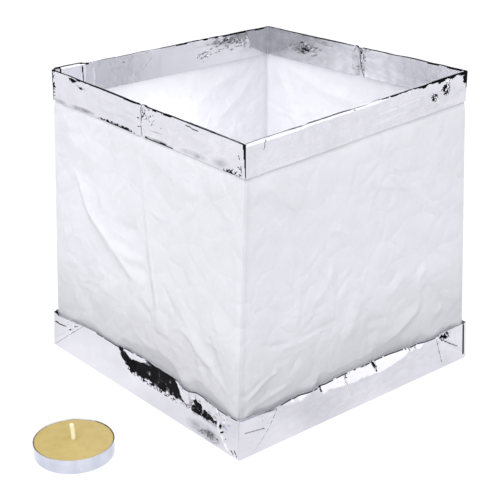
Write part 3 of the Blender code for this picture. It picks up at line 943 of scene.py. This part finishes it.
FRONT_FOLDS = (
    ([(-0.07, 0.139), (-0.0604, 0.1326), (-0.0401, 0.1146)], 0.008, 0.0007),
    ([(-0.0228, 0.1051), (-0.0071, 0.0922)], 0.005, 0.0007),
    ([(-0.016, 0.083), (-0.0316, 0.065)], 0.006, 0.0008),
    ([(0.034, 0.065), (0.0173, 0.0529)], 0.007, 0.001),
    ([(0.044, 0.042), (0.018, 0.029)], 0.006, 0.0012),
    ([(0.061, 0.037), (0.052, 0.033)], 0.004, 0.0008),
    ([(-0.078, 0.029), (-0.0622, 0.0379), (-0.053, 0.04)], 0.0026, 0.0013),
    ([(-0.054, 0.045), (-0.04, 0.049), (-0.023, 0.05)], 0.006, 0.0006),
    ([(-0.078, 0.0235), (-0.06, 0.0275), (-0.04, 0.0325)], 0.0028, 0.0011),
    ([(-0.043, 0.05), (-0.0181, 0.0545)], 0.005, -0.0004),
    ([(0.002, 0.062), (-0.012, 0.04)], 0.007, 0.0009),
)
BACK_FOLDS = (
    ([(-0.0725, 0.14), (-0.053, 0.119), (-0.033, 0.106)], 0.006, -0.0007),
    ([(-0.07, 0.141), (-0.0329, 0.1283), (-0.0134, 0.1145)], 0.007, -0.0007),
    ([(-0.0655, 0.1411), (-0.023, 0.138), (0.0054, 0.13)], 0.006, 0.0005),
    ([(-0.06, 0.09), (-0.02, 0.06), (0.01, 0.052)], 0.008, 0.0008),
    ([(0.07, 0.035), (0.045, 0.052), (0.03, 0.08)], 0.007, 0.0008),
)
RIGHT_FOLDS = (
    ([(0.002, 0.141), (0.0, 0.09), (-0.003, 0.04)], 0.0035, 0.0007),
    ([(0.07, 0.14), (0.056, 0.116), (0.048, 0.095)], 0.006, -0.0007),
    ([(0.068, 0.1405), (0.0307, 0.1279), (-0.0059, 0.125)], 0.007, -0.0007),
    ([(-0.07, 0.032), (-0.043, 0.05), (-0.02, 0.056)], 0.006, 0.0008),
    ([(0.045, 0.038), (0.02, 0.064), (-0.006, 0.07)], 0.007, 0.0008),
)
FOLDS = dict(zip(SIDES, (FRONT_FOLDS, RIGHT_FOLDS, BACK_FOLDS, LEFT_FOLDS)))


def shade_half(height):
    """Half the tissue's width, which puffs out a little between the tape and the rim."""
    share = np.clip((height - SHADE_FOOT) / (RIM_FOOT - SHADE_FOOT), 0.0, 1.0)
    puff = 0.00055 * smooth((height - 0.01) / 0.012) * smooth((RIM_FOOT + 0.001 - height) / 0.005)
    return SHADE_FOOT_HALF + share * (SHADE_TOP_HALF - SHADE_FOOT_HALF) + puff


def tissue_form(side, along, height):
    """How far the tissue stands out from its flat wall, with its folds and crumples."""
    seed = 100 + 10 * SIDES.index(side)
    form = 0.0
    for route, width, rise in FOLDS[side]:
        form = form + crease(along, height, route, width, rise, sharp=0.0005)
    widths = (0.0018, 0.0035)
    form += random_creases(along, height, 60, seed, (-0.077, 0.077, 0.022, 0.138), (0.01, 0.04),
                           widths, (0.0001, 0.0004))
    form += random_creases(along, height, 50, seed + 1, (-0.078, 0.078, 0.02, 0.065), (0.008, 0.026),
                           widths, (0.0002, 0.0005))
    creased = 0.35 + 0.65 * smooth((0.105 - height) / 0.06)
    form += creased * facets(along, height, 12, seed + 2, (0.01, 0.032), 0.024)
    form += 0.0004 * wander(along / 0.045 + 10, height / 0.04, seed + 3)
    inside = smooth((shade_half(height) - 0.001 - np.abs(along)) / 0.003)
    free = smooth((RIM_FOOT - height) / 0.01) * smooth((height - 0.011) / 0.01)
    return form * free * inside


def behind_wall(side, along, height):
    """How far out the tissue can be before it meets the inside of the tray's wall."""
    level = np.minimum(height, TRAY_HEIGHT)
    room = tray_half(level) + wall_form(side, along, level) - CARD - GAP
    above = np.clip(height - TRAY_HEIGHT, 0.0, None)
    slack = 0.0009 + 0.0006 * wander(along / 0.015 + 40, 0 * along, 95 + SIDES.index(side))
    near_rim = smooth((height - 0.013) / 0.006) * smooth((TRAY_HALF - 0.004 - np.abs(along)) / 0.01)
    return room - slack * near_rim + 0.35 * above


def tissue_points(side, turn, height, inset):
    """Points on a tissue wall. Inset is how far behind its outer face they lie, one for each turn."""
    inset = inset + 0 * turn
    turn, level = np.meshgrid(turn, height)
    inset = np.broadcast_to(inset, turn.shape)
    radius = np.maximum(TISSUE_CORNER - inset, 0.0003)
    along, out, angle = square_path(turn, shade_half(level) - inset, radius)
    out = out + tissue_form(side, along, level) * np.cos(angle)
    flat = np.cos(angle) > 0.999        # away from the corners, where it could meet the wall
    out = np.where(flat, np.minimum(out, behind_wall(side, along, level) - inset), out)
    return settle(to_world(side, along, out, level))


def make_tissue_sheet(name, sides):
    """One sheet makes two walls, and its lap turns in behind the start of the other sheet."""
    first, second, lapped = sides
    height = np.linspace(SHADE_FOOT, SHADE_TOP, round((SHADE_TOP - SHADE_FOOT) / TISSUE_STEP))
    full = turns_along(-0.9998, 1.0, SHADE_TOP_HALF, TISSUE_CORNER, TISSUE_STEP)
    lap_turn = -1.0 + SEAM_LAP / SHADE_TOP_HALF
    lap = turns_along(-1.0, lap_turn, SHADE_TOP_HALF, TISSUE_CORNER, TISSUE_STEP)
    behind = TISSUE + GAP
    # the second wall steps in as it nears its end, to turn in behind the other sheet
    rounding = smooth((full - 0.985) / 0.015) * behind
    skins = []
    for depth in (0.0, TISSUE):
        skins.append(np.concatenate([
            tissue_points(first, full, height, depth),
            tissue_points(second, full, height, depth + rounding)[:, 1:],
            tissue_points(lapped, lap, height, depth + behind)[:, 1:]], axis=1))
    sheet = make_shell(f"tissue_{name}", skins[0], skins[1], WHITE_TISSUE, 75)
    finish_piece(sheet, "tray", "tissue", name)
    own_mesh(sheet)


# ---- rim ----

RIM_CORNER = 0.001
# radius of each side's fold on the outside, and how much lower than that the fold's inner edge is
RIM_SOFT_EDGES = {"front": 0.0014, "right": 0.0004, "back": 0.0004, "left": 0.0004}
RIM_SAGS = {"front": 0.00025, "right": 0.0, "back": 0.0, "left": 0.0004}
RIM_SHARP_EDGE = 0.00015    # radius of the fold on the inside
RIM_MITRE = 0.9993          # share of the way to a corner's middle where a side's strip is cut
PANEL_GAP = 0.0002          # from the middle of a side that folds to its half panels
MID_SIDES = ("left", "right")


def rim_section(outer_edge, top, sag, lift):
    """The strip's face from its outer foot over its fold to its inner foot: inset, height, and how
    far each row faces out and up. The fold's radius and the top's height change along the strip,
    and the fold's inner edge is lower than its outer one by sag."""
    steps = round((RIM_TOP - RIM_FOOT) / FOIL_STEP)
    rise = np.linspace(0.0, 1.0, steps)[:, None]
    quarter = np.linspace(0.0, math.pi / 2, FOLD_ROWS)[:, None]
    soft = outer_edge + lift
    sharp = RIM_SHARP_EDGE + lift
    same = 1 + 0 * outer_edge[None, :]
    rows = [
        (-lift * same, RIM_FOOT + rise * (top + lift - soft - RIM_FOOT), same, 0 * same),
        (outer_edge - soft * np.cos(quarter), top + lift - soft + soft * np.sin(quarter),
         np.cos(quarter) * same, np.sin(quarter) * same),
        (RIM_THICK - RIM_SHARP_EDGE + sharp * np.sin(quarter) * same,
         top - sag + lift - sharp + sharp * np.cos(quarter),
         -np.sin(quarter) * same, np.cos(quarter) * same),
        ((RIM_THICK + lift) * same, RIM_FOOT + rise[::-1] * (top - sag + lift - sharp - RIM_FOOT),
         -same, 0 * same),
    ]
    counts = (steps, FOLD_ROWS, FOLD_ROWS, steps)
    parts = [[np.broadcast_to(part, (count, len(outer_edge))) for part in row]
             for count, row in zip(counts, rows)]
    return [np.concatenate(column) for column in zip(*parts)]


# creases of the rim, seen from outside for "outer" and from within the lantern for "inner": each a
# route over its side with the crease's width and rise
RIM_CREASES = {
    ("left", "outer"): (
        ([(0.004, 0.1575), (0.002, 0.154), (-0.0008, 0.142)], 0.001, 0.0005),
        ([(0.005, 0.1537), (0.0069, 0.1443)], 0.0009, -0.0004),
        ([(-0.0035, 0.156), (-0.004, 0.147)], 0.0008, -0.0003),
        ([(0.06, 0.1575), (0.0598, 0.1515), (0.0583, 0.149)], 0.0008, -0.0004),
        ([(-0.056, 0.156), (-0.044, 0.153)], 0.0009, -0.0004),
        ([(-0.07, 0.157), (-0.064, 0.15), (-0.05, 0.1475)], 0.001, 0.0003),
    ),
    ("front", "outer"): (
        ([(-0.0634, 0.1575), (-0.0636, 0.1545), (-0.0642, 0.1514)], 0.0008, -0.0004),
        ([(-0.0465, 0.157), (-0.046, 0.143)], 0.0012, 0.0002),
        ([(-0.035, 0.1565), (-0.0345, 0.144)], 0.0012, -0.0002),
        ([(0.024, 0.1565), (0.023, 0.148)], 0.001, 0.0002),
    ),
    ("back", "inner"): (
        ([(0.051, 0.1575), (0.05, 0.15), (0.0512, 0.1425)], 0.0012, 0.0006),
        ([(0.056, 0.1575), (0.058, 0.149), (0.056, 0.1425)], 0.001, -0.0005),
        ([(-0.053, 0.157), (-0.0545, 0.15), (-0.052, 0.143)], 0.0011, 0.0006),
        ([(-0.057, 0.1575), (-0.059, 0.15), (-0.0568, 0.1425)], 0.0011, 0.0006),
    ),
    ("right", "inner"): (
        ([(-0.0015, 0.1575), (-0.002, 0.15), (-0.0044, 0.1425)], 0.0012, 0.0007),
        ([(0.004, 0.157), (0.0035, 0.143)], 0.001, -0.0004),
    ),
}
# patches of fine crinkles: centre, reach, rise, grain
RIM_CRUMPLES = {
    ("left", "outer"): (
        ((-0.05, 0.1545), (0.01, 0.003), 0.00022, 0.002),
        ((0.003, 0.15), (0.008, 0.008), 0.00018, 0.0018),
        ((0.07, 0.144), (0.007, 0.0035), 0.0003, 0.0018),
        ((0.015, 0.148), (0.008, 0.0025), 0.00018, 0.002),
    ),
    ("front", "outer"): (
        ((0.0565, 0.1535), (0.007, 0.0045), 0.00035, 0.0016),
        ((0.073, 0.156), (0.003, 0.003), 0.00035, 0.0014),
    ),
    ("back", "inner"): (
        ((-0.043, 0.1525), (0.016, 0.005), 0.00026, 0.0024),
        ((-0.025, 0.148), (0.006, 0.0035), 0.00022, 0.0018),
    ),
    ("right", "inner"): (
        ((0.043, 0.1495), (0.015, 0.0045), 0.00034, 0.002),
    ),
}


def rim_face_form(side, face, along, height, seed):
    """Creases and crinkles on one face of the strip, standing out from that face."""
    box = (-0.07, 0.07, RIM_FOOT, RIM_TOP)
    form = random_creases(along, height, 12, seed, box, (0.004, 0.01), (0.0009, 0.0018),
                          (0.00006, 0.0002))
    long_folds = np.random.default_rng(seed + 7).uniform(
        (-0.07, RIM_FOOT + 0.001, 0.015), (0.04, RIM_TOP - 0.002, 0.04), (7, 3))
    for start, level, length in long_folds:
        drift = 0.0015 * math.sin(1e5 * start)
        form += crease(along, height, [(start, level), (start + length, level + drift)], 0.0022, 0.0001)
    edge = (-0.072, 0.072, RIM_TOP - 0.0016, RIM_TOP - 0.0002)
    form += random_creases(along, height, 30, seed + 1, edge, (0.001, 0.003), (0.0005, 0.0009),
                           (0.0001, 0.0003))
    for route, width, rise in RIM_CREASES.get((side, face), ()):
        form += crease(along, height, route, width, rise)
    for k, (centre, reach, rise, grain) in enumerate(RIM_CRUMPLES.get((side, face), ())):
        form += crumple(along, height, centre, reach, rise, grain, seed + 2 + k, 2.0)
    return form


def rim_form(side, along, height, facing_out, seed):
    """How far the strip's face stands out, over both of its faces and its fold."""
    outside = smooth(facing_out)
    inside = smooth(-facing_out)
    form = 0.00018 * wander(along / 0.02 + 10, height / 0.012 + 3 * facing_out, seed)
    form += 0.00005 * wander(along / 0.004 + 30, height / 0.004 + 3 * facing_out, seed + 1)
    form += outside * rim_face_form(side, "outer", along, height, seed + 10)
    form += inside * rim_face_form(side, "inner", along, height, seed + 20)
    if side in MID_SIDES:
        form -= 0.0006 * np.clip(1 - np.abs(along) / 0.0022, 0.0, None)
        form += crumple(along, height, (0.0, 0.15), (0.006, 0.01), 0.00016, 0.0016, seed + 3)
    return form * smooth((RIM_HALF - 0.0007 - np.abs(along)) / 0.004)


def rim_layout(side, turn, lift):
    """The strip's section along a side: how far in and how high each place is, and how it faces."""
    outer_edge = RIM_SOFT_EDGES[side] + 0 * turn
    if side == "front":         # sharper to the right of its middle
        outer_edge = outer_edge - 0.0009 * smooth((turn - 0.1) / 0.15)
    if side == "left":          # rounder behind its middle
        outer_edge = outer_edge + 0.0004 * smooth((0.05 - turn) / 0.15)
    top = RIM_TOP - 0.0001 + 0.00015 * wander(turn * 9 + 20, 0 * turn, 205 + 10 * SIDES.index(side))
    if side in MID_SIDES:       # the strip stands up a little just past the middle fold
        top = top + 0.0005 * between(turn, 0.01, 0.06, 0.02)
    return rim_section(outer_edge, top, RIM_SAGS[side], lift)


def rim_points(side, turn, lift, depth):
    """Points on the strip, rows over its section and columns along the side."""
    inset, height, facing_out, facing_up = rim_layout(side, turn, lift)
    turn = np.broadcast_to(turn, inset.shape)
    radius = np.maximum(RIM_CORNER - inset, 0.0003)
    along, out, angle = square_path(turn, RIM_HALF - inset, radius)
    form = rim_form(side, along, height, facing_out, 200 + 10 * SIDES.index(side)) - depth
    out = out + form * facing_out * np.cos(angle)
    height = height + form * facing_up
    return settle(to_world(side, along, out, height))


# painted dark reflections: near-black lines painted on the strip where its foil would mirror something
# dark: a route and a width
RIM_PAINTED_DARK_LINES = {
    ("left", "outer"): (
        ([(0.0742, 0.1585), (0.0745, 0.1525)], 0.0018), ([(0.0744, 0.153), (0.0747, 0.1475)], 0.0011),
        ([(0.0747, 0.15), (0.0749, 0.1425)], 0.0005),
        ([(0.0702, 0.152), (0.0709, 0.1503)], 0.0005), ([(0.07, 0.1462), (0.0713, 0.1458)], 0.0005),
        ([(0.072, 0.147), (0.0722, 0.144)], 0.0005), ([(0.034, 0.1562), (0.043, 0.1559)], 0.0005),
        ([(-0.074, 0.1585), (-0.074, 0.1545)], 0.001), ([(-0.0738, 0.1545), (-0.0738, 0.142)], 0.0006),
        ([(0.004, 0.156), (0.002, 0.152)], 0.0005),
    ),
    ("front", "outer"): (
        ([(-0.0636, 0.157), (-0.0643, 0.1532)], 0.0005),
        ([(0.0738, 0.1575), (0.074, 0.15)], 0.0009),
    ),
    ("right", "inner"): (([(-0.0012, 0.1575), (-0.0022, 0.15), (-0.0044, 0.1425)], 0.0006),),
    ("back", "inner"): (([(0.0591, 0.1575), (0.0587, 0.151), (0.0591, 0.143)], 0.0007),),
}
# patches of painted dark specks, for dark reflections: a centre, a reach along and up the strip, and how
# densely it is specked
RIM_PAINTED_SPECKS = {
    ("left", "outer"): (
        ((-0.056, 0.1565), (0.004, 0.0012), 0.9), ((-0.0735, 0.15), (0.0016, 0.008), 0.3),
        ((0.005, 0.153), (0.006, 0.005), 0.12), ((-0.02, 0.1424), (0.016, 0.0012), 0.5),
        ((0.066, 0.1425), (0.006, 0.002), 0.25),
    ),
    ("front", "outer"): (
        ((0.05, 0.15), (0.003, 0.0026), 0.4), ((0.0585, 0.152), (0.0036, 0.0038), 0.45),
        ((0.0735, 0.1545), (0.0024, 0.0034), 0.95),
    ),
    ("right", "inner"): (
        ((0.042, 0.15), (0.008, 0.004), 0.06), ((-0.003, 0.154), (0.003, 0.003), 0.1),
    ),
    ("back", "inner"): (
        ((-0.044, 0.153), (0.011, 0.0034), 0.06), ((-0.025, 0.1475), (0.006, 0.003), 0.08),
    ),
}
# stretches of the strip's top fold and foot painted near-black, as painted dark reflections and painted
# shade: start, end, depth, share painted
RIM_PAINTED_TOP_DARK = {
    "left": ((-0.074, -0.012, 0.0001, 0.92), (-0.012, 0.026, 0.0009, 0.85), (0.026, 0.074, 0.0002, 0.94)),
    "front": ((0.012, 0.034, 0.0005, 0.8), (0.034, 0.052, 0.0012, 0.95), (0.052, 0.075, 0.0018, 0.99)),
    "right": ((-0.074, -0.05, 0.0006, 0.96), (-0.05, -0.004, 0.0002, 0.94),
              (-0.004, 0.074, 0.0002, 0.6)),
    "back": ((-0.074, 0.005, 0.0005, 0.9), (0.0535, 0.06, 0.0009, 0.85)),
}
RIM_PAINTED_FOOT_DARK = {
    "left": ((-0.036, -0.006, 0.0007, 0.55), (0.003, 0.024, 0.0008, 0.95), (0.06, 0.067, 0.0005, 0.8)),
}


def paint_rim_darks(piece, side, turn, lift):
    """Paints near-black painted dark reflections and painted shade on the strip's faces, top fold and
    foot.
    """
    _, height, facing, _ = rim_layout(side, turn, lift)
    along = cell_middles(np.broadcast_to(turn * RIM_HALF, height.shape))
    height, facing = cell_middles(height), cell_middles(facing)
    for face, seen in (("outer", facing > 0.05), ("inner", facing < -0.9)):
        # near-black painted dark reflections and painted shade on the strip
        painted_dark = near_routes(along, height, RIM_PAINTED_DARK_LINES.get((side, face), ()))
        painted_dark |= specked(along, height, RIM_PAINTED_SPECKS.get((side, face), ()), 35)
        change_skin(piece, painted_dark & seen, PAINTED_BLACK)
    painted_dark = along_edge(along, height.max(axis=0) - height, RIM_PAINTED_TOP_DARK[side], 36)
    if side in ("left", "front"):       # the painted dark keeps to the outer part of these two folds
        painted_dark &= facing > -0.3
    painted_dark |= along_edge(along, height - RIM_FOOT, RIM_PAINTED_FOOT_DARK.get(side, ()), 38) & (facing > 0.5)
    change_skin(piece, painted_dark, PAINTED_BLACK)


def make_rim_piece(name, side, start, end, lift=0.0, inner_foil=RIM_INNER_FOIL):
    turn = turns_along(start, end, RIM_HALF, RIM_CORNER, FOIL_STEP)
    face = rim_points(side, turn, lift, 0.0)
    groove = rim_points(side, turn, lift, CARD * 0.9)
    piece = make_shell(f"foil_{name}", face, groove, RIM_FOIL)
    finish_rim_faces(piece, turn, len(face), inner_foil)
    # near-black painted dark reflections and painted shade
    paint_rim_darks(piece, side, turn, lift)
    finish_piece(piece, "rim", "rim_foil", name)


def finish_rim_faces(piece, turn, rows, inner_foil):
    """Gives the strip's inner face its own foil, and its cut ends painted near-black, a painted shadow
    for the dark gaps at the corners.
    """
    columns = len(turn) - 1
    inner = np.zeros((rows - 1, columns), bool)
    inner[rows // 2 + FOLD_ROWS // 2:] = True
    change_skin(piece, inner, inner_foil)
    # the cut ends get painted near-black, a painted shadow for the gaps at the corners
    piece.data.materials.append(PAINTED_BLACK)
    for polygon in piece.data.polygons[2 * (rows - 1) * columns + 2 * columns:]:
        polygon.material_index = 2


def make_rim():
    middle = PANEL_GAP / RIM_HALF
    make_rim_piece("rim_front", "front", -RIM_MITRE, RIM_MITRE)
    make_rim_piece("rim_back", "back", -RIM_MITRE, RIM_MITRE)
    make_rim_piece("rim_right_front_half", "right", -RIM_MITRE, -middle)
    make_rim_piece("rim_right_back_half", "right", middle, RIM_MITRE)
    make_rim_piece("rim_left_back_half", "left", -RIM_MITRE, -middle)
    make_rim_piece("rim_left_front_half", "left", middle, RIM_MITRE)
    lap_start, lap_end = -LAP_HIGH.x / RIM_HALF, -LAP_LOW.x / RIM_HALF
    # the lap's inner face is painted bright, a painted highlight
    make_rim_piece("rim_lap", "back", lap_start, lap_end, CARD + GAP, PAINTED_HIGHLIGHT_FOIL)


# ---- tealight ----

def make_rings(name, points, ends, material, smooth_angle=50):
    """A closed solid through rings of points, with one more point at each end."""
    rings, around = points.shape[:2]
    index = np.arange(rings * around).reshape(rings, around)
    following = np.roll(index, -1, axis=1)
    sides = np.stack([index[:-1], following[:-1], following[1:], index[1:]], axis=-1)
    faces = sides.reshape(-1, 4).tolist()
    foot, tip = rings * around, rings * around + 1
    faces += [(foot, int(b), int(a)) for a, b in zip(index[0], following[0])]
    faces += [(tip, int(a), int(b)) for a, b in zip(index[-1], following[-1])]
    points = np.concatenate([points.reshape(-1, 3), np.array(ends)])
    return make_object(name, points, faces, material, smooth_angle)


def revolve(name, profile, centre, material, ripple=0.0):
    """A solid of revolution. The profile runs (radius, height) from axis to axis."""
    rings = np.array(profile[1:-1])
    turn = np.linspace(0.0, 2 * math.pi, RING_STEPS, endpoint=False)
    radius = rings[:, :1] * (1.0 + ripple * wander(turn * 6, 0 * turn, 300)[None, :])
    x = centre.x + radius * np.cos(turn)
    y = centre.y + radius * np.sin(turn)
    z = np.broadcast_to(rings[:, 1:], x.shape)
    ends = [(centre.x, centre.y, profile[0][1]), (centre.x, centre.y, profile[-1][1])]
    return make_rings(name, np.stack([x, y, z], axis=-1), ends, material, 40)


def arc_points(centre, radius, start, end, steps):
    turns = np.radians(np.linspace(start, end, steps))
    return [(centre[0] + radius * math.cos(t), centre[1] + radius * math.sin(t)) for t in turns]


def make_cup(centre, mouth, foot, wall, lip):
    """A drawn cup: a rounded foot, a wall that flares a little, and a rolled lip."""
    top = CUP_HIGH.z
    profile = [(0.0, 0.0), (0.3 * foot, 0.0), (foot - 0.0012, 0.0)]
    profile += arc_points((foot - 0.001, 0.001), 0.001, -80, 0, 8)
    profile += [(mouth - 1.4 * lip, top - 3.0 * lip)]
    profile += arc_points((mouth - lip, top - lip), lip, -40, 180, 12)
    profile += [(mouth - 2.0 * lip - wall, top - 2.6 * lip), (foot - wall, 0.0016)]
    profile += arc_points((foot - 0.001 - wall / 2, 0.001 + wall), 0.0008, 0, -90, 6)
    profile += [(0.3 * foot, wall), (0.0, wall)]
    cup = revolve("tealight_cup_shell", profile, centre, CUP_METAL, 0.0016)
    finish_piece(cup, "tealight", "cup_aluminium", "tealight_cup")


def make_wax(centre, edge, foot):
    """The wax's top is hollowed a little round the wick, and creeps up it."""
    profile = [(0.0, WAX_FOOT + 0.0008), (0.004, WAX_FOOT + 0.0008), (foot - 0.0022, WAX_FOOT)]
    profile += arc_points((foot - 0.002, WAX_FOOT + 0.0012), 0.001, -80, -10, 5)
    profile += [(edge - 0.0001, WAX_TOP - 0.0016), (edge, WAX_TOP - 0.0004),
                    (edge - 0.0002, WAX_TOP - 0.0001), (edge - 0.0012, WAX_TOP - 0.00004),
                    (0.012, WAX_TOP - 0.00012), (0.006, WAX_TOP - 0.0001), (0.0028, WAX_TOP),
                    (0.0016, WAX_TOP + 0.0003), (0.0011, WAX_TOP + 0.0005), (0.0, WAX_TOP + 0.0005)]
    wax = revolve("tealight_wax_disc", profile, centre, WAX)
    finish_piece(wax, "candle", "wax", "tealight_wax")


def make_wick(centre):
    """Braided cotton: three strands twisted round a line that leans a little."""
    steps, around = 60, 24
    foot = WAX_TOP - 0.0016
    share = np.linspace(0.0, 1.0, steps)
    turn = np.linspace(0.0, 2 * math.pi, around, endpoint=False)
    lean_x = -0.0003 * smooth((share - 0.35) / 0.65) - 0.0002 * np.sin(share * 7.0) * share
    lean_y = 0.0005 * smooth((share - 0.3) / 0.7)
    share, turn = np.meshgrid(share, turn, indexing="ij")
    strands = 0.00012 * np.abs(np.sin(1.5 * (turn + share * 16.0)))
    radius = 0.001 + strands - 0.00025 * smooth((share - 0.92) / 0.08)
    x = centre.x + lean_x[:, None] + radius * np.cos(turn)
    y = centre.y + lean_y[:, None] + radius * np.sin(turn)
    z = foot + share * (WICK_TOP - foot)
    ends = [(centre.x, centre.y, foot),
            (centre.x + lean_x[-1], centre.y + lean_y[-1], WICK_TOP + 0.0002)]
    wick = make_rings("cotton_wick", np.stack([x, y, z], axis=-1), ends, COTTON)
    finish_piece(wick, "candle", "wick_cotton", "wick")


def make_tealight():
    centre = (CUP_LOW + CUP_HIGH) / 2
    mouth = (CUP_HIGH.x - CUP_LOW.x) / 2
    foot, wall, lip = mouth - 0.0003, 0.0002, 0.00018
    make_cup(centre, mouth, foot, wall, lip)
    make_wax(centre, mouth - 2.0 * lip - wall - 0.00004, foot)
    make_wick(centre)
    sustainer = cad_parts["wick_sustainer"]
    sustainer.data.materials.clear()
    sustainer.data.materials.append(TIN)


# ---- floor, light and camera ----

def make_floor():
    """A white shooting table that glows. Eyes see it evenly lit, mirrors see soft brighter and darker
    patches painted into its glow, and it lights other things softly.
    """
    half = 8.0
    corners = [(half * x, half * y, -0.0002) for x, y in CORNER_SIGNS]
    mesh = bpy.data.meshes.new("table")
    mesh.from_pydata(corners, [], [(0, 1, 2, 3)])
    material, n = new_material("white_table")
    tone = n.mix_colours(n.noise(3.0), (0.44, 0.44, 0.44), (0.46, 0.46, 0.46))
    painted = n.surface(Base_Color=tone, Roughness=0.9, Specular_IOR_Level=0.1)
    path = n.add("ShaderNodeLightPath").outputs
    # painted reflection: patches of brighter and darker glow that only mirrors see
    mirrored_glow_patches = n.maths("MULTIPLY", n.spread(n.noise(12.0, 3.0), -0.2, 0.16), path["Is Glossy Ray"])
    glow = n.add("ShaderNodeEmission", {"Color": (1.0, 1.0, 1.0, 1.0),
                                        "Strength": n.maths("ADD", 1.12, mirrored_glow_patches)}).outputs[0]
    n.output(n.mix_shaders(n.spread(path["Is Diffuse Ray"], 0.12, 0.85, (0.0, 1.0)), glow, painted))
    mesh.materials.append(material)
    floor = bpy.data.objects.new("table", mesh)
    bpy.context.scene.collection.objects.link(floor)


def make_world():
    """A white room, brightest overhead. Mirrors also see its dark far side, as foil does in a studio."""
    world = bpy.data.worlds.new("studio")
    bpy.context.scene.world = world
    n = Nodes(world)
    direction = n.add("ShaderNodeTexCoord").outputs["Generated"]
    axes = n.add("ShaderNodeSeparateXYZ", {0: direction}).outputs
    height = axes["Z"]
    right = n.vectors("DOT_PRODUCT", direction, (0.707, 0.707, 0.0))
    # what mirrors see: dark behind and beside the lantern, and bright in front and overhead
    behind = n.maths("MULTIPLY", n.spread(axes["Y"], 0.0, 1.0, (0.05, 0.15)),
                     n.spread(height, 1.0, 0.0, (0.7, 0.8)))
    beside = n.maths("MULTIPLY", n.spread(right, 0.0, 1.0, (0.12, 0.2)),
                     n.spread(height, 1.0, 0.0, (0.4, 0.5)))
    bright = n.spread(height, 1.45, 1.1, (0.7, 0.9))
    shaded = n.spread(n.maths("MAXIMUM", behind, beside), 1.0, 0.012, (0.0, 1.0))
    mirrored = n.maths("MULTIPLY", bright, shaded)
    # what lights the tissue: strongest from overhead
    lit = n.maths("ADD", n.maths("MULTIPLY", n.maths("MULTIPLY", height, height), 1.9), 0.42)
    ray = n.add("ShaderNodeLightPath").outputs
    room = n.maths("ADD", n.maths("MULTIPLY", ray["Is Glossy Ray"], mirrored),
                   n.maths("MULTIPLY", n.maths("SUBTRACT", 1.0, ray["Is Glossy Ray"]), lit))
    strength = n.maths("ADD", room, ray["Is Camera Ray"])
    light = n.add("ShaderNodeBackground", {"Color": (0.98, 0.985, 1.0, 1.0), "Strength": strength})
    n.add("ShaderNodeOutputWorld", {"Surface": light.outputs[0]})


def make_light(name, kind, power):
    """A light that neither the camera nor the foil sees."""
    data = bpy.data.lights.new(name, kind)
    data.energy = power
    light = bpy.data.objects.new(name, data)
    bpy.context.scene.collection.objects.link(light)
    light.visible_camera = False
    light.visible_glossy = False
    return light


def make_lights():
    """A soft high key from the front left, and a weak glow inside for what the tissue scatters."""
    key = make_light("key", "SUN", KEY_POWER)
    key.data.angle = math.radians(KEY_SPREAD)
    key.rotation_euler = Vector(KEY_DIRECTION).to_track_quat("-Z", "Y").to_euler()
    glow = make_light("inside", "POINT", GLOW_POWER)
    glow.data.shadow_soft_size = GLOW_RADIUS
    glow.location = GLOW_PLACE


def make_camera():
    azimuth, elevation = math.radians(CAMERA_AZIMUTH), math.radians(CAMERA_ELEVATION)
    back = Vector((math.sin(azimuth) * math.cos(elevation), -math.cos(azimuth) * math.cos(elevation),
                   math.sin(elevation)))
    data = bpy.data.cameras.new("camera")
    data.sensor_width = 36.0
    data.lens = CAMERA_LENS
    data.clip_start = 0.01
    data.clip_end = 50.0
    camera = bpy.data.objects.new("camera", data)
    camera.location = CAMERA_TARGET + back * CAMERA_DISTANCE
    camera.rotation_euler = (-back).to_track_quat("-Z", "Y").to_euler()
    bpy.context.scene.collection.objects.link(camera)
    bpy.context.scene.camera = camera


make_camera()
make_floor()
make_world()
make_lights()
bpy.context.scene.view_settings.view_transform = "Standard"

make_tray_floor()
for side_name, corner_name in zip(SIDES, CORNERS):
    make_tray_wall(side_name)
    make_ear(corner_name)
    make_staple(corner_name)
    make_hem_tape(side_name)
make_rim()
make_tissue_sheet("shade_sheet_left", ("back", "left", "front"))
make_tissue_sheet("shade_sheet_right", ("front", "right", "back"))
make_tealight()
